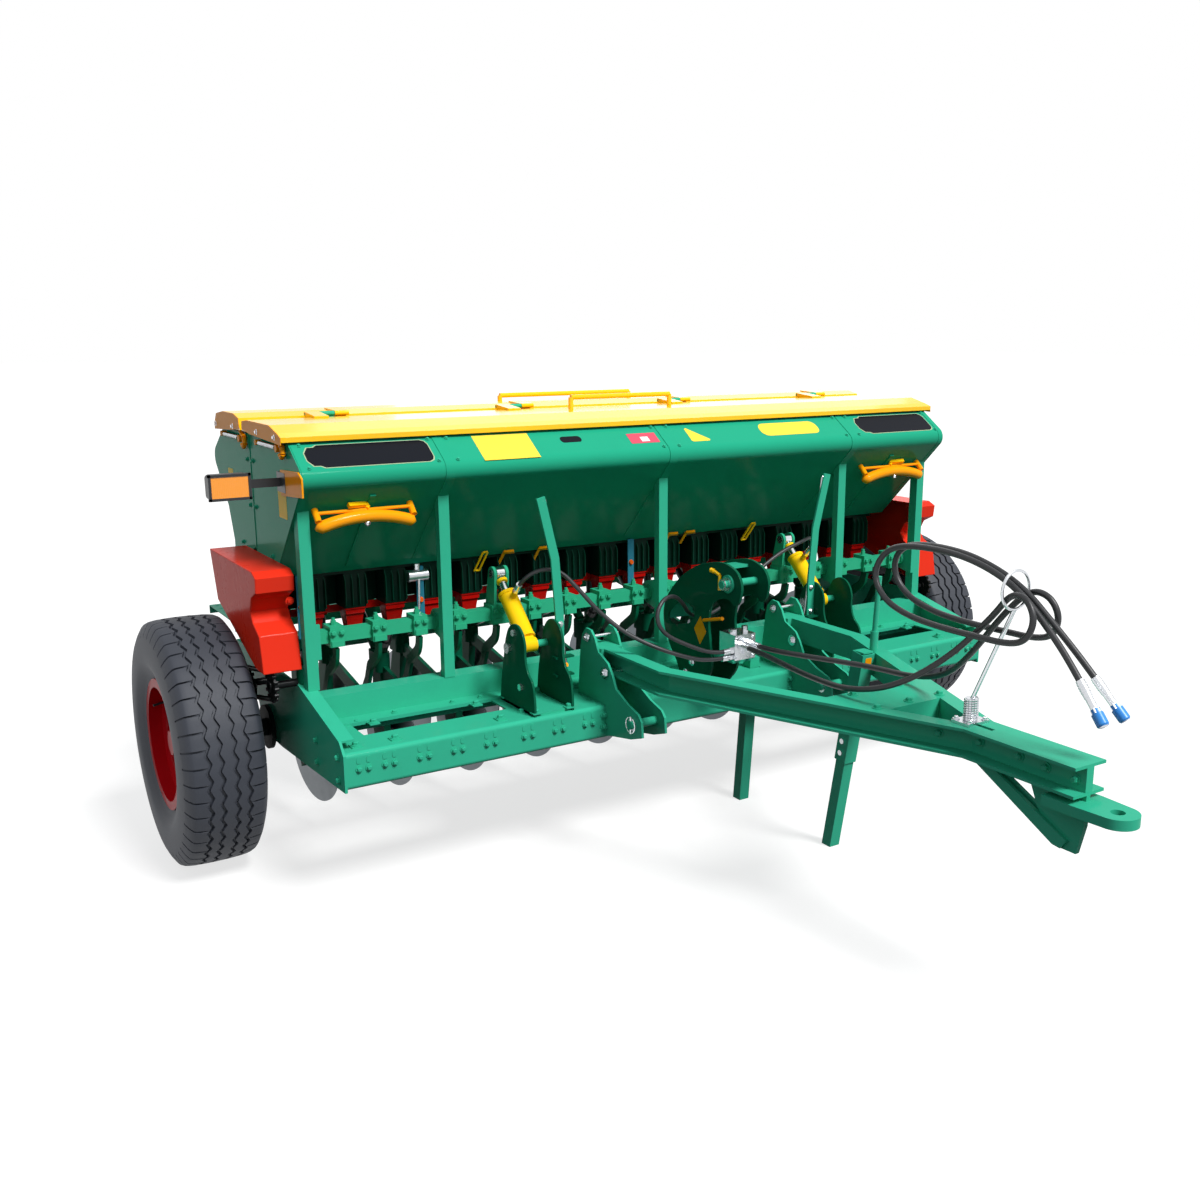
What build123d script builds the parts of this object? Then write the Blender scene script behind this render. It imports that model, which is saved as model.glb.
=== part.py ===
from build123d import *
import math
import os

os.makedirs("parts", exist_ok=True)

# A trailed 18-row seed drill with two hopper compartments, in millimetres.
# +Z is up, X runs across the machine and the drawbar points to -Y.
# Every y below is counted from the wheel axle; the planes add AXLE_Y, so that the
# origin lies on the ground under the middle of the whole machine.

FRONT_REACH = 2398.0
REAR_REACH = 790.0
AXLE_Y = (FRONT_REACH - REAR_REACH) / 2
FIT = 0.05
GAP = 0.4
SIDES = (("left", -1), ("right", 1))


def side(x):
    """Plane facing +X at x, drawn in (y, z)."""
    return Plane(origin=(x, AXLE_Y, 0), x_dir=(0, 1, 0), z_dir=(1, 0, 0))


def level(z):
    """Plane facing up at height z, drawn in (x, y)."""
    return Plane(origin=(0, AXLE_Y, z), x_dir=(1, 0, 0), z_dir=(0, 0, 1))


def front(y):
    """Plane facing -Y at y, drawn in (x, z)."""
    return Plane(origin=(0, AXLE_Y + y, 0), x_dir=(1, 0, 0), z_dir=(0, -1, 0))


def mirrored(x_low, x_high):
    """The two x starts of a pair of equal pieces, left and right."""
    return (-x_high, x_low)


def turned(point, centre, degrees):
    """A (y, z) point turned about a (y, z) centre, rear side up when positive."""
    angle = math.radians(degrees)
    dy = point[0] - centre[0]
    dz = point[1] - centre[1]
    return (
        centre[0] + dy * math.cos(angle) - dz * math.sin(angle),
        centre[1] + dy * math.sin(angle) + dz * math.cos(angle),
    )


# ---------------------------------------------------------------- wheels
WHEEL_D = 810.0
WHEEL_R = WHEEL_D / 2
WHEEL_X = 1560.0
RIM_SEAT_R = 194.3
RIM_FLANGE_R = 215.0
RIM_HALF = 101.0
RIM_WALL = 7.0
TYRE_HALF = 130.0
TREAD_HALF = 104.0
HUB_R = 70.0
AXLE_R = 30.0
HUB_INNER = 85.0
HUB_OUTER = 60.0

for name, sign in SIDES:
    wheel_plane = Plane(
        origin=(sign * WHEEL_X, AXLE_Y, WHEEL_R), x_dir=(sign, 0, 0), z_dir=(0, -sign, 0)
    )
    wheel_axis = Axis((sign * WHEEL_X, AXLE_Y, WHEEL_R), (sign, 0, 0))
    bead_r = RIM_SEAT_R + GAP
    bead_half = RIM_HALF - GAP
    with BuildPart() as tyre:
        with BuildSketch(wheel_plane) as tyre_section:
            with BuildLine():
                Polyline(
                    (-bead_half, bead_r),
                    (-bead_half, RIM_FLANGE_R + 4),
                    (-TYRE_HALF, WHEEL_R - 125),
                    (-TYRE_HALF + 4, WHEEL_R - 45),
                    (-TREAD_HALF, WHEEL_R - 6),
                    (-TREAD_HALF / 2, WHEEL_R),
                    (TREAD_HALF / 2, WHEEL_R),
                    (TREAD_HALF, WHEEL_R - 6),
                    (TYRE_HALF - 4, WHEEL_R - 45),
                    (TYRE_HALF, WHEEL_R - 125),
                    (bead_half, RIM_FLANGE_R + 4),
                    (bead_half, bead_r),
                    close=True,
                )
            make_face()
        revolve(axis=wheel_axis)
    tyre.part.label = f"tyre_{name}"
    export_step(tyre.part, f"parts/tyre_{name}.step")

    with BuildPart() as rim:
        with BuildSketch(wheel_plane):
            with BuildLine():
                Polyline(
                    (-RIM_HALF - RIM_WALL, RIM_FLANGE_R),
                    (-RIM_HALF, RIM_FLANGE_R),
                    (-RIM_HALF, RIM_SEAT_R),
                    (-62, RIM_SEAT_R),
                    (-50, RIM_SEAT_R - 20),
                    (50, RIM_SEAT_R - 20),
                    (62, RIM_SEAT_R),
                    (RIM_HALF, RIM_SEAT_R),
                    (RIM_HALF, RIM_FLANGE_R),
                    (RIM_HALF + RIM_WALL, RIM_FLANGE_R),
                    (RIM_HALF + RIM_WALL, RIM_SEAT_R - RIM_WALL),
                    (66, RIM_SEAT_R - RIM_WALL),
                    (54, RIM_SEAT_R - 20 - RIM_WALL),
                    (-54, RIM_SEAT_R - 20 - RIM_WALL),
                    (-66, RIM_SEAT_R - RIM_WALL),
                    (-RIM_HALF - RIM_WALL, RIM_SEAT_R - RIM_WALL),
                    close=True,
                )
            make_face()
            with BuildLine():
                Polyline(
                    (14, HUB_R - 5), (14, 110), (-8, 150), (-8, RIM_SEAT_R - 26),
                    (2, RIM_SEAT_R - 26), (2, 152), (24, 113), (24, HUB_R - 5), close=True,
                )
            make_face()
            with BuildLine():
                Polyline(
                    (-HUB_INNER, AXLE_R + FIT), (-HUB_INNER, HUB_R - 12), (-10, HUB_R),
                    (HUB_OUTER - 14, HUB_R), (HUB_OUTER, HUB_R - 22), (HUB_OUTER + 22, HUB_R - 30),
                    (HUB_OUTER + 22, 0), (HUB_OUTER, 0), (HUB_OUTER, AXLE_R + FIT), close=True,
                )
            make_face()
        revolve(axis=wheel_axis)
    rim.part.label = f"rim_{name}"
    export_step(rim.part, f"parts/rim_{name}.step")

# ---------------------------------------------------------------- main frame
HALF_FRAME = 1320.0
JACK_X = 248.0
JACK_FOOT = -1080.0
JACK_LEAN = 10.0
JACK_TUBE = 50.0
JACK_WALL = 4.0
LEG_SIZE = 41.0
JACK_LOW = 320.0
JACK_TOP = 705.0
STAND_X = 250.0
STAND_FOOT = -575.0
STAND_LEAN = 5.0
PLATE = 8.0
INNER_HALF = HALF_FRAME - PLATE
BEAM_FRONT = -736.0
BEAM_BACK = -452.0
BEAM_LOW = 409.0
BEAM_TOP = 521.0
BEAM_SHEET = 5.0
SLOT_X = (725.0, 1205.0)
SLOT_Y = (-596.0, -484.0)
TUBE = 76.0
TUBE_WALL = 5.0
TUBE_BACK = -342.0
STRIP = 6.0
TUBE_FRONT = TUBE_BACK - TUBE
TUBE_TOP = BEAM_TOP + STRIP + TUBE
REAR_TUBE_Y = (262.0, 342.0)
REAR_TUBE_Z = (575.0, 635.0)
LIP = 6.0
LIP_WIDTH = 38.0
LIP_FRONT = (-703.0, 552.0)
LIP_REAR = (-350.0, 635.0)

with BuildPart() as front_beam:
    with BuildSketch(side(-INNER_HALF)):
        with BuildLine():
            FilletPolyline(
                (BEAM_FRONT + 45, BEAM_LOW),
                (BEAM_FRONT, BEAM_LOW),
                (BEAM_FRONT, BEAM_TOP),
                (BEAM_BACK, BEAM_TOP),
                (BEAM_BACK, BEAM_TOP - 30),
                radius=14,
            )
            offset(amount=BEAM_SHEET, side=Side.RIGHT)
        make_face()
    extrude(amount=2 * INNER_HALF)
    with BuildSketch(level(BEAM_TOP - 20)):
        for x_start in mirrored(*SLOT_X):
            with Locations((x_start + (SLOT_X[1] - SLOT_X[0]) / 2, sum(SLOT_Y) / 2)):
                Rectangle(SLOT_X[1] - SLOT_X[0], SLOT_Y[1] - SLOT_Y[0])
        with Locations((STAND_X, STAND_FOOT - BEAM_TOP * math.tan(math.radians(STAND_LEAN)))):
            Rectangle(LEG_SIZE + 8, LEG_SIZE + 12)
    extrude(amount=40, mode=Mode.SUBTRACT)
front_beam.part.label = "front_beam"
export_step(front_beam.part, "parts/front_beam.step")

with BuildPart() as rear_beam:
    with BuildSketch(side(-INNER_HALF)):
        with Locations((TUBE_BACK - TUBE / 2, TUBE_TOP - TUBE / 2)):
            Rectangle(TUBE, TUBE)
            Rectangle(TUBE - 2 * TUBE_WALL, TUBE - 2 * TUBE_WALL, mode=Mode.SUBTRACT)
        with Locations(((SLOT_Y[1] + TUBE_BACK) / 2, BEAM_TOP + STRIP / 2)):
            Rectangle(TUBE_BACK - SLOT_Y[1], STRIP)
    extrude(amount=2 * INNER_HALF)
rear_beam.part.label = "rear_beam"
export_step(rear_beam.part, "parts/rear_beam.step")

with BuildPart() as rear_frame_tube:
    with BuildSketch(side(-INNER_HALF)):
        with Locations((sum(REAR_TUBE_Y) / 2, sum(REAR_TUBE_Z) / 2)):
            Rectangle(REAR_TUBE_Y[1] - REAR_TUBE_Y[0], REAR_TUBE_Z[1] - REAR_TUBE_Z[0])
            Rectangle(
                REAR_TUBE_Y[1] - REAR_TUBE_Y[0] - 2 * TUBE_WALL,
                REAR_TUBE_Z[1] - REAR_TUBE_Z[0] - 2 * TUBE_WALL,
                mode=Mode.SUBTRACT,
            )
    extrude(amount=2 * INNER_HALF)
rear_frame_tube.part.label = "rear_frame_tube"
export_step(rear_frame_tube.part, "parts/rear_frame_tube.step")

LIP_SLOPE = (LIP_REAR[1] - LIP_FRONT[1]) / (LIP_REAR[0] - LIP_FRONT[0])

with BuildPart() as end_plates:
    for x_start in mirrored(INNER_HALF, HALF_FRAME):
        with BuildSketch(side(x_start)):
            with BuildLine():
                Polyline(
                    (BEAM_FRONT, BEAM_LOW - 6),
                    (BEAM_FRONT, BEAM_TOP - 6),
                    LIP_FRONT,
                    LIP_REAR,
                    (REAR_TUBE_Y[1], REAR_TUBE_Z[1]),
                    (REAR_TUBE_Y[1], REAR_TUBE_Z[0] - 10),
                    (110, WHEEL_R + 60),
                    (60, WHEEL_R - 35),
                    (-132, WHEEL_R - 35),
                    close=True,
                )
            make_face()
        extrude(amount=PLATE)
    for x_start in mirrored(INNER_HALF - LIP_WIDTH, INNER_HALF):
        with BuildSketch(side(x_start)):
            with BuildLine():
                Polyline(
                    LIP_FRONT,
                    LIP_REAR,
                    (LIP_REAR[0], LIP_REAR[1] - LIP),
                    (LIP_FRONT[0], LIP_FRONT[1] - LIP),
                    close=True,
                )
            make_face()
        extrude(amount=LIP_WIDTH)
end_plates.part.label = "end_plates"
export_step(end_plates.part, "parts/end_plates.step")

with BuildPart() as stub_axles:
    for name, sign in SIDES:
        flange_plane = Plane(
            origin=(sign * HALF_FRAME, AXLE_Y, WHEEL_R), x_dir=(0, 1, 0), z_dir=(sign, 0, 0)
        )
        with BuildSketch(flange_plane):
            Circle(75)
        extrude(amount=14)
        with BuildSketch(flange_plane.offset(14)):
            Circle(AXLE_R)
        extrude(amount=WHEEL_X + HUB_OUTER - 12 - HALF_FRAME - 14)
stub_axles.part.label = "stub_axles"
export_step(stub_axles.part, "parts/stub_axles.step")

# ---------------------------------------------------------------- hopper
HOPPER_HALF = 1312.0
SHEET = 4.0
RIM_Z = 1385.0
FRONT_TOP = (-371.0, RIM_Z)
FRONT_BULGE = (-508.0, 1291.0)
FRONT_TROUGH = (-157.0, 940.0)
FRONT_FLOOR = (-60.0, 940.0)
DIVIDER_Y = 28.0
FRONT_LIP_Z = 1000.0
REAR_TOP = (335.0, RIM_Z)
REAR_BULGE = (500.0, 1283.0)
REAR_KNEE = (340.0, 1115.0)
REAR_TROUGH = (270.0, 940.0)
REAR_FLOOR = (170.0, 940.0)
REAR_LIP_Z = 1020.0
BULGE_R = 40.0
FOLD_R = 6.0
WELD_LIP = 40.0

with BuildPart() as hopper_front_wall:
    with BuildSketch(side(-HOPPER_HALF + SHEET)):
        with BuildLine():
            FilletPolyline(
                FRONT_TOP,
                FRONT_BULGE,
                FRONT_TROUGH,
                FRONT_FLOOR,
                (DIVIDER_Y, FRONT_LIP_Z),
                (DIVIDER_Y, FRONT_LIP_Z + WELD_LIP),
                radius=[BULGE_R, FOLD_R, FOLD_R, FOLD_R],
            )
            offset(amount=SHEET, side=Side.LEFT)
        make_face()
    extrude(amount=2 * (HOPPER_HALF - SHEET))
hopper_front_wall.part.label = "hopper_front_wall"
export_step(hopper_front_wall.part, "parts/hopper_front_wall.step")

with BuildPart() as hopper_rear_wall:
    with BuildSketch(side(-HOPPER_HALF + SHEET)):
        with BuildLine():
            FilletPolyline(
                REAR_TOP,
                REAR_BULGE,
                REAR_KNEE,
                REAR_TROUGH,
                REAR_FLOOR,
                (DIVIDER_Y + SHEET, REAR_LIP_Z),
                (DIVIDER_Y + SHEET, REAR_LIP_Z + WELD_LIP),
                radius=[BULGE_R, FOLD_R, FOLD_R, FOLD_R, FOLD_R],
            )
            offset(amount=SHEET, side=Side.RIGHT)
        make_face()
    extrude(amount=2 * (HOPPER_HALF - SHEET))
hopper_rear_wall.part.label = "hopper_rear_wall"
export_step(hopper_rear_wall.part, "parts/hopper_rear_wall.step")

with BuildPart() as hopper_ends:
    for x_start in mirrored(HOPPER_HALF - SHEET, HOPPER_HALF):
        with BuildSketch(side(x_start)) as end_sketch:
            with BuildLine():
                Polyline(
                    FRONT_TOP,
                    FRONT_BULGE,
                    FRONT_TROUGH,
                    FRONT_FLOOR,
                    (DIVIDER_Y, FRONT_LIP_Z),
                    (DIVIDER_Y + SHEET, REAR_LIP_Z),
                    REAR_FLOOR,
                    REAR_TROUGH,
                    REAR_KNEE,
                    REAR_BULGE,
                    REAR_TOP,
                    close=True,
                )
            make_face()
            fillet(end_sketch.vertices().sort_by(Axis.X)[0], BULGE_R)
            fillet(end_sketch.vertices().sort_by(Axis.X)[-1], BULGE_R)
        extrude(amount=SHEET)
hopper_ends.part.label = "hopper_ends"
export_step(hopper_ends.part, "parts/hopper_ends.step")

# The divider carries the rail and the pin that both lids turn on.
HINGE = (DIVIDER_Y + SHEET / 2, 1440.0)
HINGE_R = 8.0
PIN_R = 4.0
HINGE_X = (-1050.0, -350.0, 350.0, 1050.0)
KNUCKLE = 50.0

with BuildPart() as hopper_divider:
    with BuildSketch(side(-HOPPER_HALF + SHEET)):
        with Locations((HINGE[0], (FRONT_LIP_Z + RIM_Z) / 2)):
            Rectangle(SHEET, RIM_Z - FRONT_LIP_Z)
    extrude(amount=2 * (HOPPER_HALF - SHEET))
    for hinge_x in HINGE_X:
        with BuildSketch(side(hinge_x - KNUCKLE / 2)):
            with Locations((HINGE[0], (RIM_Z + GAP + HINGE[1]) / 2)):
                Rectangle(SHEET, HINGE[1] - RIM_Z - GAP)
            with Locations(HINGE):
                Circle(HINGE_R)
        extrude(amount=KNUCKLE)
        with BuildSketch(side(hinge_x - 1.5 * KNUCKLE)):
            with Locations(HINGE):
                Circle(PIN_R)
        extrude(amount=3 * KNUCKLE)
hopper_divider.part.label = "hopper_divider"
export_step(hopper_divider.part, "parts/hopper_divider.step")

# ---------------------------------------------------------------- lids
LID_HALF = 1335.0
LID_SHEET = 3.0
LID_LOW = RIM_Z + 3
HANDLE_R = 9.0
FRONT_LID = (
    (-388.0, LID_LOW), (-388.0, 1403.0), (-354.0, 1414.0), (-278.0, 1433.0),
    (-40.0, 1433.0), (14.0, 1427.0), (20.0, LID_LOW + 8),
)
REAR_LID = (
    (350.0, LID_LOW), (350.0, 1402.0), (322.0, 1435.0), (240.0, 1446.0),
    (110.0, 1446.0), (52.0, 1434.0), (42.0, LID_LOW + 8),
)
# name, outline, side of the sheet, handle y, foot z, rise and half length, knuckle side, strap end y
LIDS = (
    ("front_lid", FRONT_LID, Side.RIGHT, -140.0, 1433.0, 51.0, 212.0, -1, -70.0),
    ("rear_lid", REAR_LID, Side.LEFT, 268.0, 1442.0, 32.0, 290.0, 1, 130.0),
)
STRAP_T = 6.0

for name, outline, sheet_side, handle_y, handle_z, handle_rise, handle_half, knuckle_side, strap_y in LIDS:
    lid_top = outline[4][1]
    knuckle_start = KNUCKLE / 2 + 2 if knuckle_side > 0 else -1.5 * KNUCKLE
    with BuildPart() as lid_envelope:
        with BuildSketch(side(-LID_HALF)):
            with BuildLine():
                Polyline(*outline, close=True)
            make_face()
            offset(amount=GAP, kind=Kind.INTERSECTION)
        extrude(amount=2 * LID_HALF)
    with BuildPart() as lid_fittings:
        for hinge_x in HINGE_X:
            with BuildSketch(side(hinge_x + knuckle_start)):
                with Locations(HINGE):
                    Circle(HINGE_R)
                with BuildLine():
                    Polyline(
                        (HINGE[0], HINGE[1] + 2),
                        (HINGE[0], HINGE[1] + HINGE_R),
                        (strap_y, lid_top + STRAP_T),
                        (strap_y, lid_top - STRAP_T),
                        (outline[5][0] + knuckle_side, outline[5][1] - STRAP_T),
                        close=True,
                    )
                make_face()
                with Locations(HINGE):
                    Circle(PIN_R + FIT, mode=Mode.SUBTRACT)
            extrude(amount=KNUCKLE - 2)
        with BuildSketch(level(handle_z - HANDLE_R)):
            with Locations((-handle_half, handle_y), (handle_half, handle_y)):
                Circle(HANDLE_R)
        extrude(amount=handle_rise)
        with BuildSketch(side(-handle_half)):
            with Locations((handle_y, handle_z + handle_rise - HANDLE_R)):
                Circle(HANDLE_R)
        extrude(amount=2 * handle_half)
        add(lid_envelope.part, mode=Mode.SUBTRACT)
    with BuildPart() as lid:
        with BuildSketch(side(-LID_HALF + LID_SHEET)):
            with BuildLine():
                Polyline(*outline)
                offset(amount=LID_SHEET, side=sheet_side)
            make_face()
        extrude(amount=2 * (LID_HALF - LID_SHEET))
        for x_start in mirrored(LID_HALF - LID_SHEET, LID_HALF):
            with BuildSketch(side(x_start)):
                with BuildLine():
                    Polyline(*outline, close=True)
                make_face()
            extrude(amount=LID_SHEET)
        add(lid_fittings.part)
    lid.part.label = name
    export_step(lid.part, f"parts/{name}.step")

# ---------------------------------------------------------------- hopper posts
POST_X = (-840.0, 0.0, 840.0)
POST_WIDTH = 36.0
POST_Y = (-420.0, -390.0)
END_POST_X = (1268.0, 1304.0)
END_POST_Y = (-400.0, -360.0)
REAR_POST_Y = (287.0, 325.0)


def under_front(y):
    """Height of the front compartment's sloping underside at y."""
    slope = (FRONT_TROUGH[1] - FRONT_BULGE[1]) / (FRONT_TROUGH[0] - FRONT_BULGE[0])
    return FRONT_BULGE[1] + slope * (y - FRONT_BULGE[0])


def under_rear(y):
    """Height of the rear compartment's steep underside at y."""
    slope = (REAR_KNEE[1] - REAR_TROUGH[1]) / (REAR_KNEE[0] - REAR_TROUGH[0])
    return REAR_TROUGH[1] + slope * (y - REAR_TROUGH[0])


def on_lip(y):
    """Height of the end plates' sloping lip at y."""
    return LIP_FRONT[1] + LIP_SLOPE * (y - LIP_FRONT[0])


with BuildPart() as hopper_posts:
    for post_x in POST_X:
        with BuildSketch(side(post_x - POST_WIDTH / 2)):
            with BuildLine():
                Polyline(
                    (POST_Y[0], TUBE_TOP), (POST_Y[1], TUBE_TOP),
                    (POST_Y[1], under_front(POST_Y[1])), (POST_Y[0], under_front(POST_Y[0])),
                    close=True,
                )
            make_face()
            with BuildLine():
                Polyline(
                    (REAR_POST_Y[0], REAR_TUBE_Z[1]), (REAR_POST_Y[1], REAR_TUBE_Z[1]),
                    (REAR_POST_Y[1], under_rear(REAR_POST_Y[1])),
                    (REAR_POST_Y[0], under_rear(REAR_POST_Y[0])),
                    close=True,
                )
            make_face()
        extrude(amount=POST_WIDTH)
    for x_start in mirrored(*END_POST_X):
        with BuildSketch(side(x_start)):
            with BuildLine():
                Polyline(
                    (END_POST_Y[0], on_lip(END_POST_Y[0])), (END_POST_Y[1], on_lip(END_POST_Y[1])),
                    (END_POST_Y[1], under_front(END_POST_Y[1])),
                    (END_POST_Y[0], under_front(END_POST_Y[0])),
                    close=True,
                )
            make_face()
            with BuildLine():
                Polyline(
                    (REAR_POST_Y[0], REAR_TUBE_Z[1]), (REAR_POST_Y[1], REAR_TUBE_Z[1]),
                    (REAR_POST_Y[1], under_rear(REAR_POST_Y[1])),
                    (REAR_POST_Y[0], under_rear(REAR_POST_Y[0])),
                    close=True,
                )
            make_face()
        extrude(amount=END_POST_X[1] - END_POST_X[0])
hopper_posts.part.label = "hopper_posts"
export_step(hopper_posts.part, "parts/hopper_posts.step")

# ---------------------------------------------------------------- metering units
ROWS = 18
ROW_PITCH = 140.0
ROW_X = [(row - (ROWS - 1) / 2) * ROW_PITCH for row in range(ROWS)]
METER_Y = ((FRONT_TROUGH[0] + FRONT_FLOOR[0]) / 2, (REAR_TROUGH[0] + REAR_FLOOR[0]) / 2)
METER_RAIL = 10.0
HOUSING_W = 74.0
HOUSING_D = 84.0
HOUSING_LOW = 812.0
BOX_LOW = 735.0
BOX_STRIP = 24.0
STRIP_T = 8.0
BOX_W = 68.0
BOX_D = 66.0
BOX_TAPER = 8.0
RAIL_HALF = ROW_X[-1] + 60

with BuildPart() as metering_units:
    for meter_y in METER_Y:
        with BuildSketch(level(FRONT_TROUGH[1] - METER_RAIL)):
            with Locations((0, meter_y)):
                Rectangle(2 * RAIL_HALF, HOUSING_D)
        extrude(amount=METER_RAIL)
        with BuildSketch(level(HOUSING_LOW)):
            for row_x in ROW_X:
                with Locations((row_x, meter_y)):
                    Rectangle(HOUSING_W, HOUSING_D)
        extrude(amount=FRONT_TROUGH[1] - METER_RAIL - GAP - HOUSING_LOW)
metering_units.part.label = "metering_units"
export_step(metering_units.part, "parts/metering_units.step")

with BuildPart() as outlet_boxes:
    for meter_y in METER_Y:
        with BuildSketch(level(HOUSING_LOW)):
            for row_x in ROW_X:
                with Locations((row_x, meter_y)):
                    Rectangle(BOX_W, BOX_D)
        extrude(amount=-(HOUSING_LOW - BOX_LOW), taper=BOX_TAPER)
        with BuildSketch(level(HOUSING_LOW - BOX_STRIP)):
            with Locations((0, meter_y + BOX_D / 2 + GAP + STRIP_T / 2)):
                Rectangle(2 * RAIL_HALF, STRIP_T)
        extrude(amount=BOX_STRIP)
outlet_boxes.part.label = "outlet_boxes"
export_step(outlet_boxes.part, "parts/outlet_boxes.step")

# ---------------------------------------------------------------- openers
DISC_R = 190.0
DISC = 5.0
DISC_ANGLE = math.radians(6)
PIVOT = (-310.0, 480.0)
PIVOT_R = 16.0
EYE_R = 30.0
EYE_W = 30.0
LOWERING = 17.0
WORK_CLEARANCE = 8.0
ARM_T = 14.0
ARM_DEPTH = 46.0
ARM_RISE = 0.19
BOOT_T = 26.0
CUP_T = 54.0
CUP_H = 70.0
DISC_STANDOFF = 14.0
DISC_HUB_R = 34.0
DISC_HUB = 30.0
TUBE_R = 20.0
TUBE_SPACING = 52.0
HANGER_X = (-1260.0, -840.0, -420.0, 0.0, 420.0, 840.0, 1260.0)
HANGER = 12.0
# rank: y of the disc centre at work, y of the arm's end and of the cup, top of the cup
RANKS = {"front": (-41.0, 0.0, 30.0, 604.0), "rear": (163.0, 170.0, 188.0, 622.0)}


def rank_rows(rank):
    """The rows of one rank: every second row, so that trash passes between the discs."""
    return ROW_X[0::2] if rank == "front" else ROW_X[1::2]


def arm_height(y):
    """Centre height of an opener arm at y, raised."""
    return PIVOT[1] + ARM_RISE * (y - PIVOT[0])


opener_templates = {}
disc_templates = {}
for rank, (work_y, arm_end, cup_y, cup_top) in RANKS.items():
    hub_y, hub_z = turned((work_y, DISC_R + WORK_CLEARANCE), PIVOT, LOWERING)
    with BuildPart() as opener_arm:
        with BuildSketch(side(-ARM_T / 2)):
            with BuildLine():
                Polyline(
                    (PIVOT[0], PIVOT[1] - ARM_DEPTH / 2),
                    (PIVOT[0], PIVOT[1] + ARM_DEPTH / 2),
                    (arm_end, arm_height(arm_end) + ARM_DEPTH / 2),
                    (arm_end + 40, arm_height(arm_end) - ARM_DEPTH),
                    (arm_end, arm_height(arm_end) - ARM_DEPTH),
                    (arm_end - 30, arm_height(arm_end - 30) - ARM_DEPTH / 2),
                    close=True,
                )
            make_face()
        extrude(amount=ARM_T)
        with BuildSketch(side(-BOOT_T / 2)):
            with BuildLine():
                Polyline(
                    (cup_y - 36, cup_top - CUP_H + 10),
                    (cup_y + 36, cup_top - CUP_H + 10),
                    (hub_y + 62, hub_z + 20),
                    (hub_y + 30, hub_z - 70),
                    (hub_y - 20, hub_z - 40),
                    (hub_y - 44, hub_z + 30),
                    close=True,
                )
            make_face()
        extrude(amount=BOOT_T)
        with BuildSketch(level(cup_top - CUP_H)):
            with Locations((0, cup_y)):
                SlotOverall(TUBE_SPACING + CUP_T, CUP_T, rotation=90)
        extrude(amount=CUP_H)
        with BuildSketch(side(-EYE_W / 2)):
            with Locations(PIVOT):
                Circle(EYE_R)
        extrude(amount=EYE_W)
        with BuildSketch(side(-EYE_W)):
            with Locations(PIVOT):
                Circle(PIVOT_R + FIT)
        extrude(amount=2 * EYE_W, mode=Mode.SUBTRACT)
    opener_templates[rank] = opener_arm.part
    with BuildPart() as opener_disc:
        disc_plane = Plane(
            origin=(BOOT_T / 2 + DISC_STANDOFF, AXLE_Y + hub_y, hub_z),
            x_dir=(0, 0, 1),
            z_dir=(math.cos(DISC_ANGLE), math.sin(DISC_ANGLE), 0),
        )
        with BuildSketch(disc_plane):
            Circle(DISC_R)
        extrude(amount=DISC)
        with BuildSketch(side(BOOT_T / 2 + GAP)):
            with Locations((hub_y, hub_z)):
                Circle(DISC_HUB_R)
        extrude(amount=DISC_HUB)
    disc_templates[rank] = opener_disc.part

with BuildPart() as opener_arms:
    for rank in RANKS:
        with Locations(*[(row_x, 0, 0) for row_x in rank_rows(rank)]):
            add(opener_templates[rank])
opener_arms.part.label = "opener_arms"
export_step(opener_arms.part, "parts/opener_arms.step")

with BuildPart() as opener_discs:
    for rank in RANKS:
        with Locations(*[(row_x, 0, 0) for row_x in rank_rows(rank)]):
            add(disc_templates[rank])
opener_discs.part.label = "opener_discs"
export_step(opener_discs.part, "parts/opener_discs.step")

with BuildPart() as opener_pivot:
    for hanger_x in HANGER_X:
        with BuildSketch(side(hanger_x - HANGER / 2)):
            with Locations(PIVOT):
                Circle(34)
            with Locations((PIVOT[0] - 60, BEAM_TOP - 5)):
                Rectangle(60, 10)
            make_hull()
        extrude(amount=HANGER)
    with BuildSketch(side(-HANGER_X[-1] - HANGER)):
        with Locations(PIVOT):
            Circle(PIVOT_R + FIT)
    extrude(amount=2 * (HANGER_X[-1] + HANGER), mode=Mode.SUBTRACT)
    with BuildSketch(side(-HANGER_X[-1])):
        with Locations(PIVOT):
            Circle(PIVOT_R)
    extrude(amount=2 * HANGER_X[-1])
opener_pivot.part.label = "opener_pivot"
export_step(opener_pivot.part, "parts/opener_pivot.step")

# ---------------------------------------------------------------- lift shaft
SHAFT = (-330.0, 775.0)
SHAFT_SIZE = 40.0
JOURNAL_R = 29.0
JOURNAL = 24.0
SHAFT_HALF = 1266.0
BEARING = 12.0
SHAFT_TURN = 20.0
CLAMP_W = 46.0
CLAMP = 66.0
SPRING_T = 12.0
SPRING_DEPTH = 32.0
CYL_X = 620.0
CRANK_EYE = (-350.0, 915.0)
CRANK_T = 10.0
CRANK_GAP = 34.0
CRANK_EYE_R = 24.0
CRANK_FOOT = 60.0
CRANK_BLOCK = CRANK_GAP + 2 * CRANK_T + 6
CYL_PIN_R = 10.0

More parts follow.
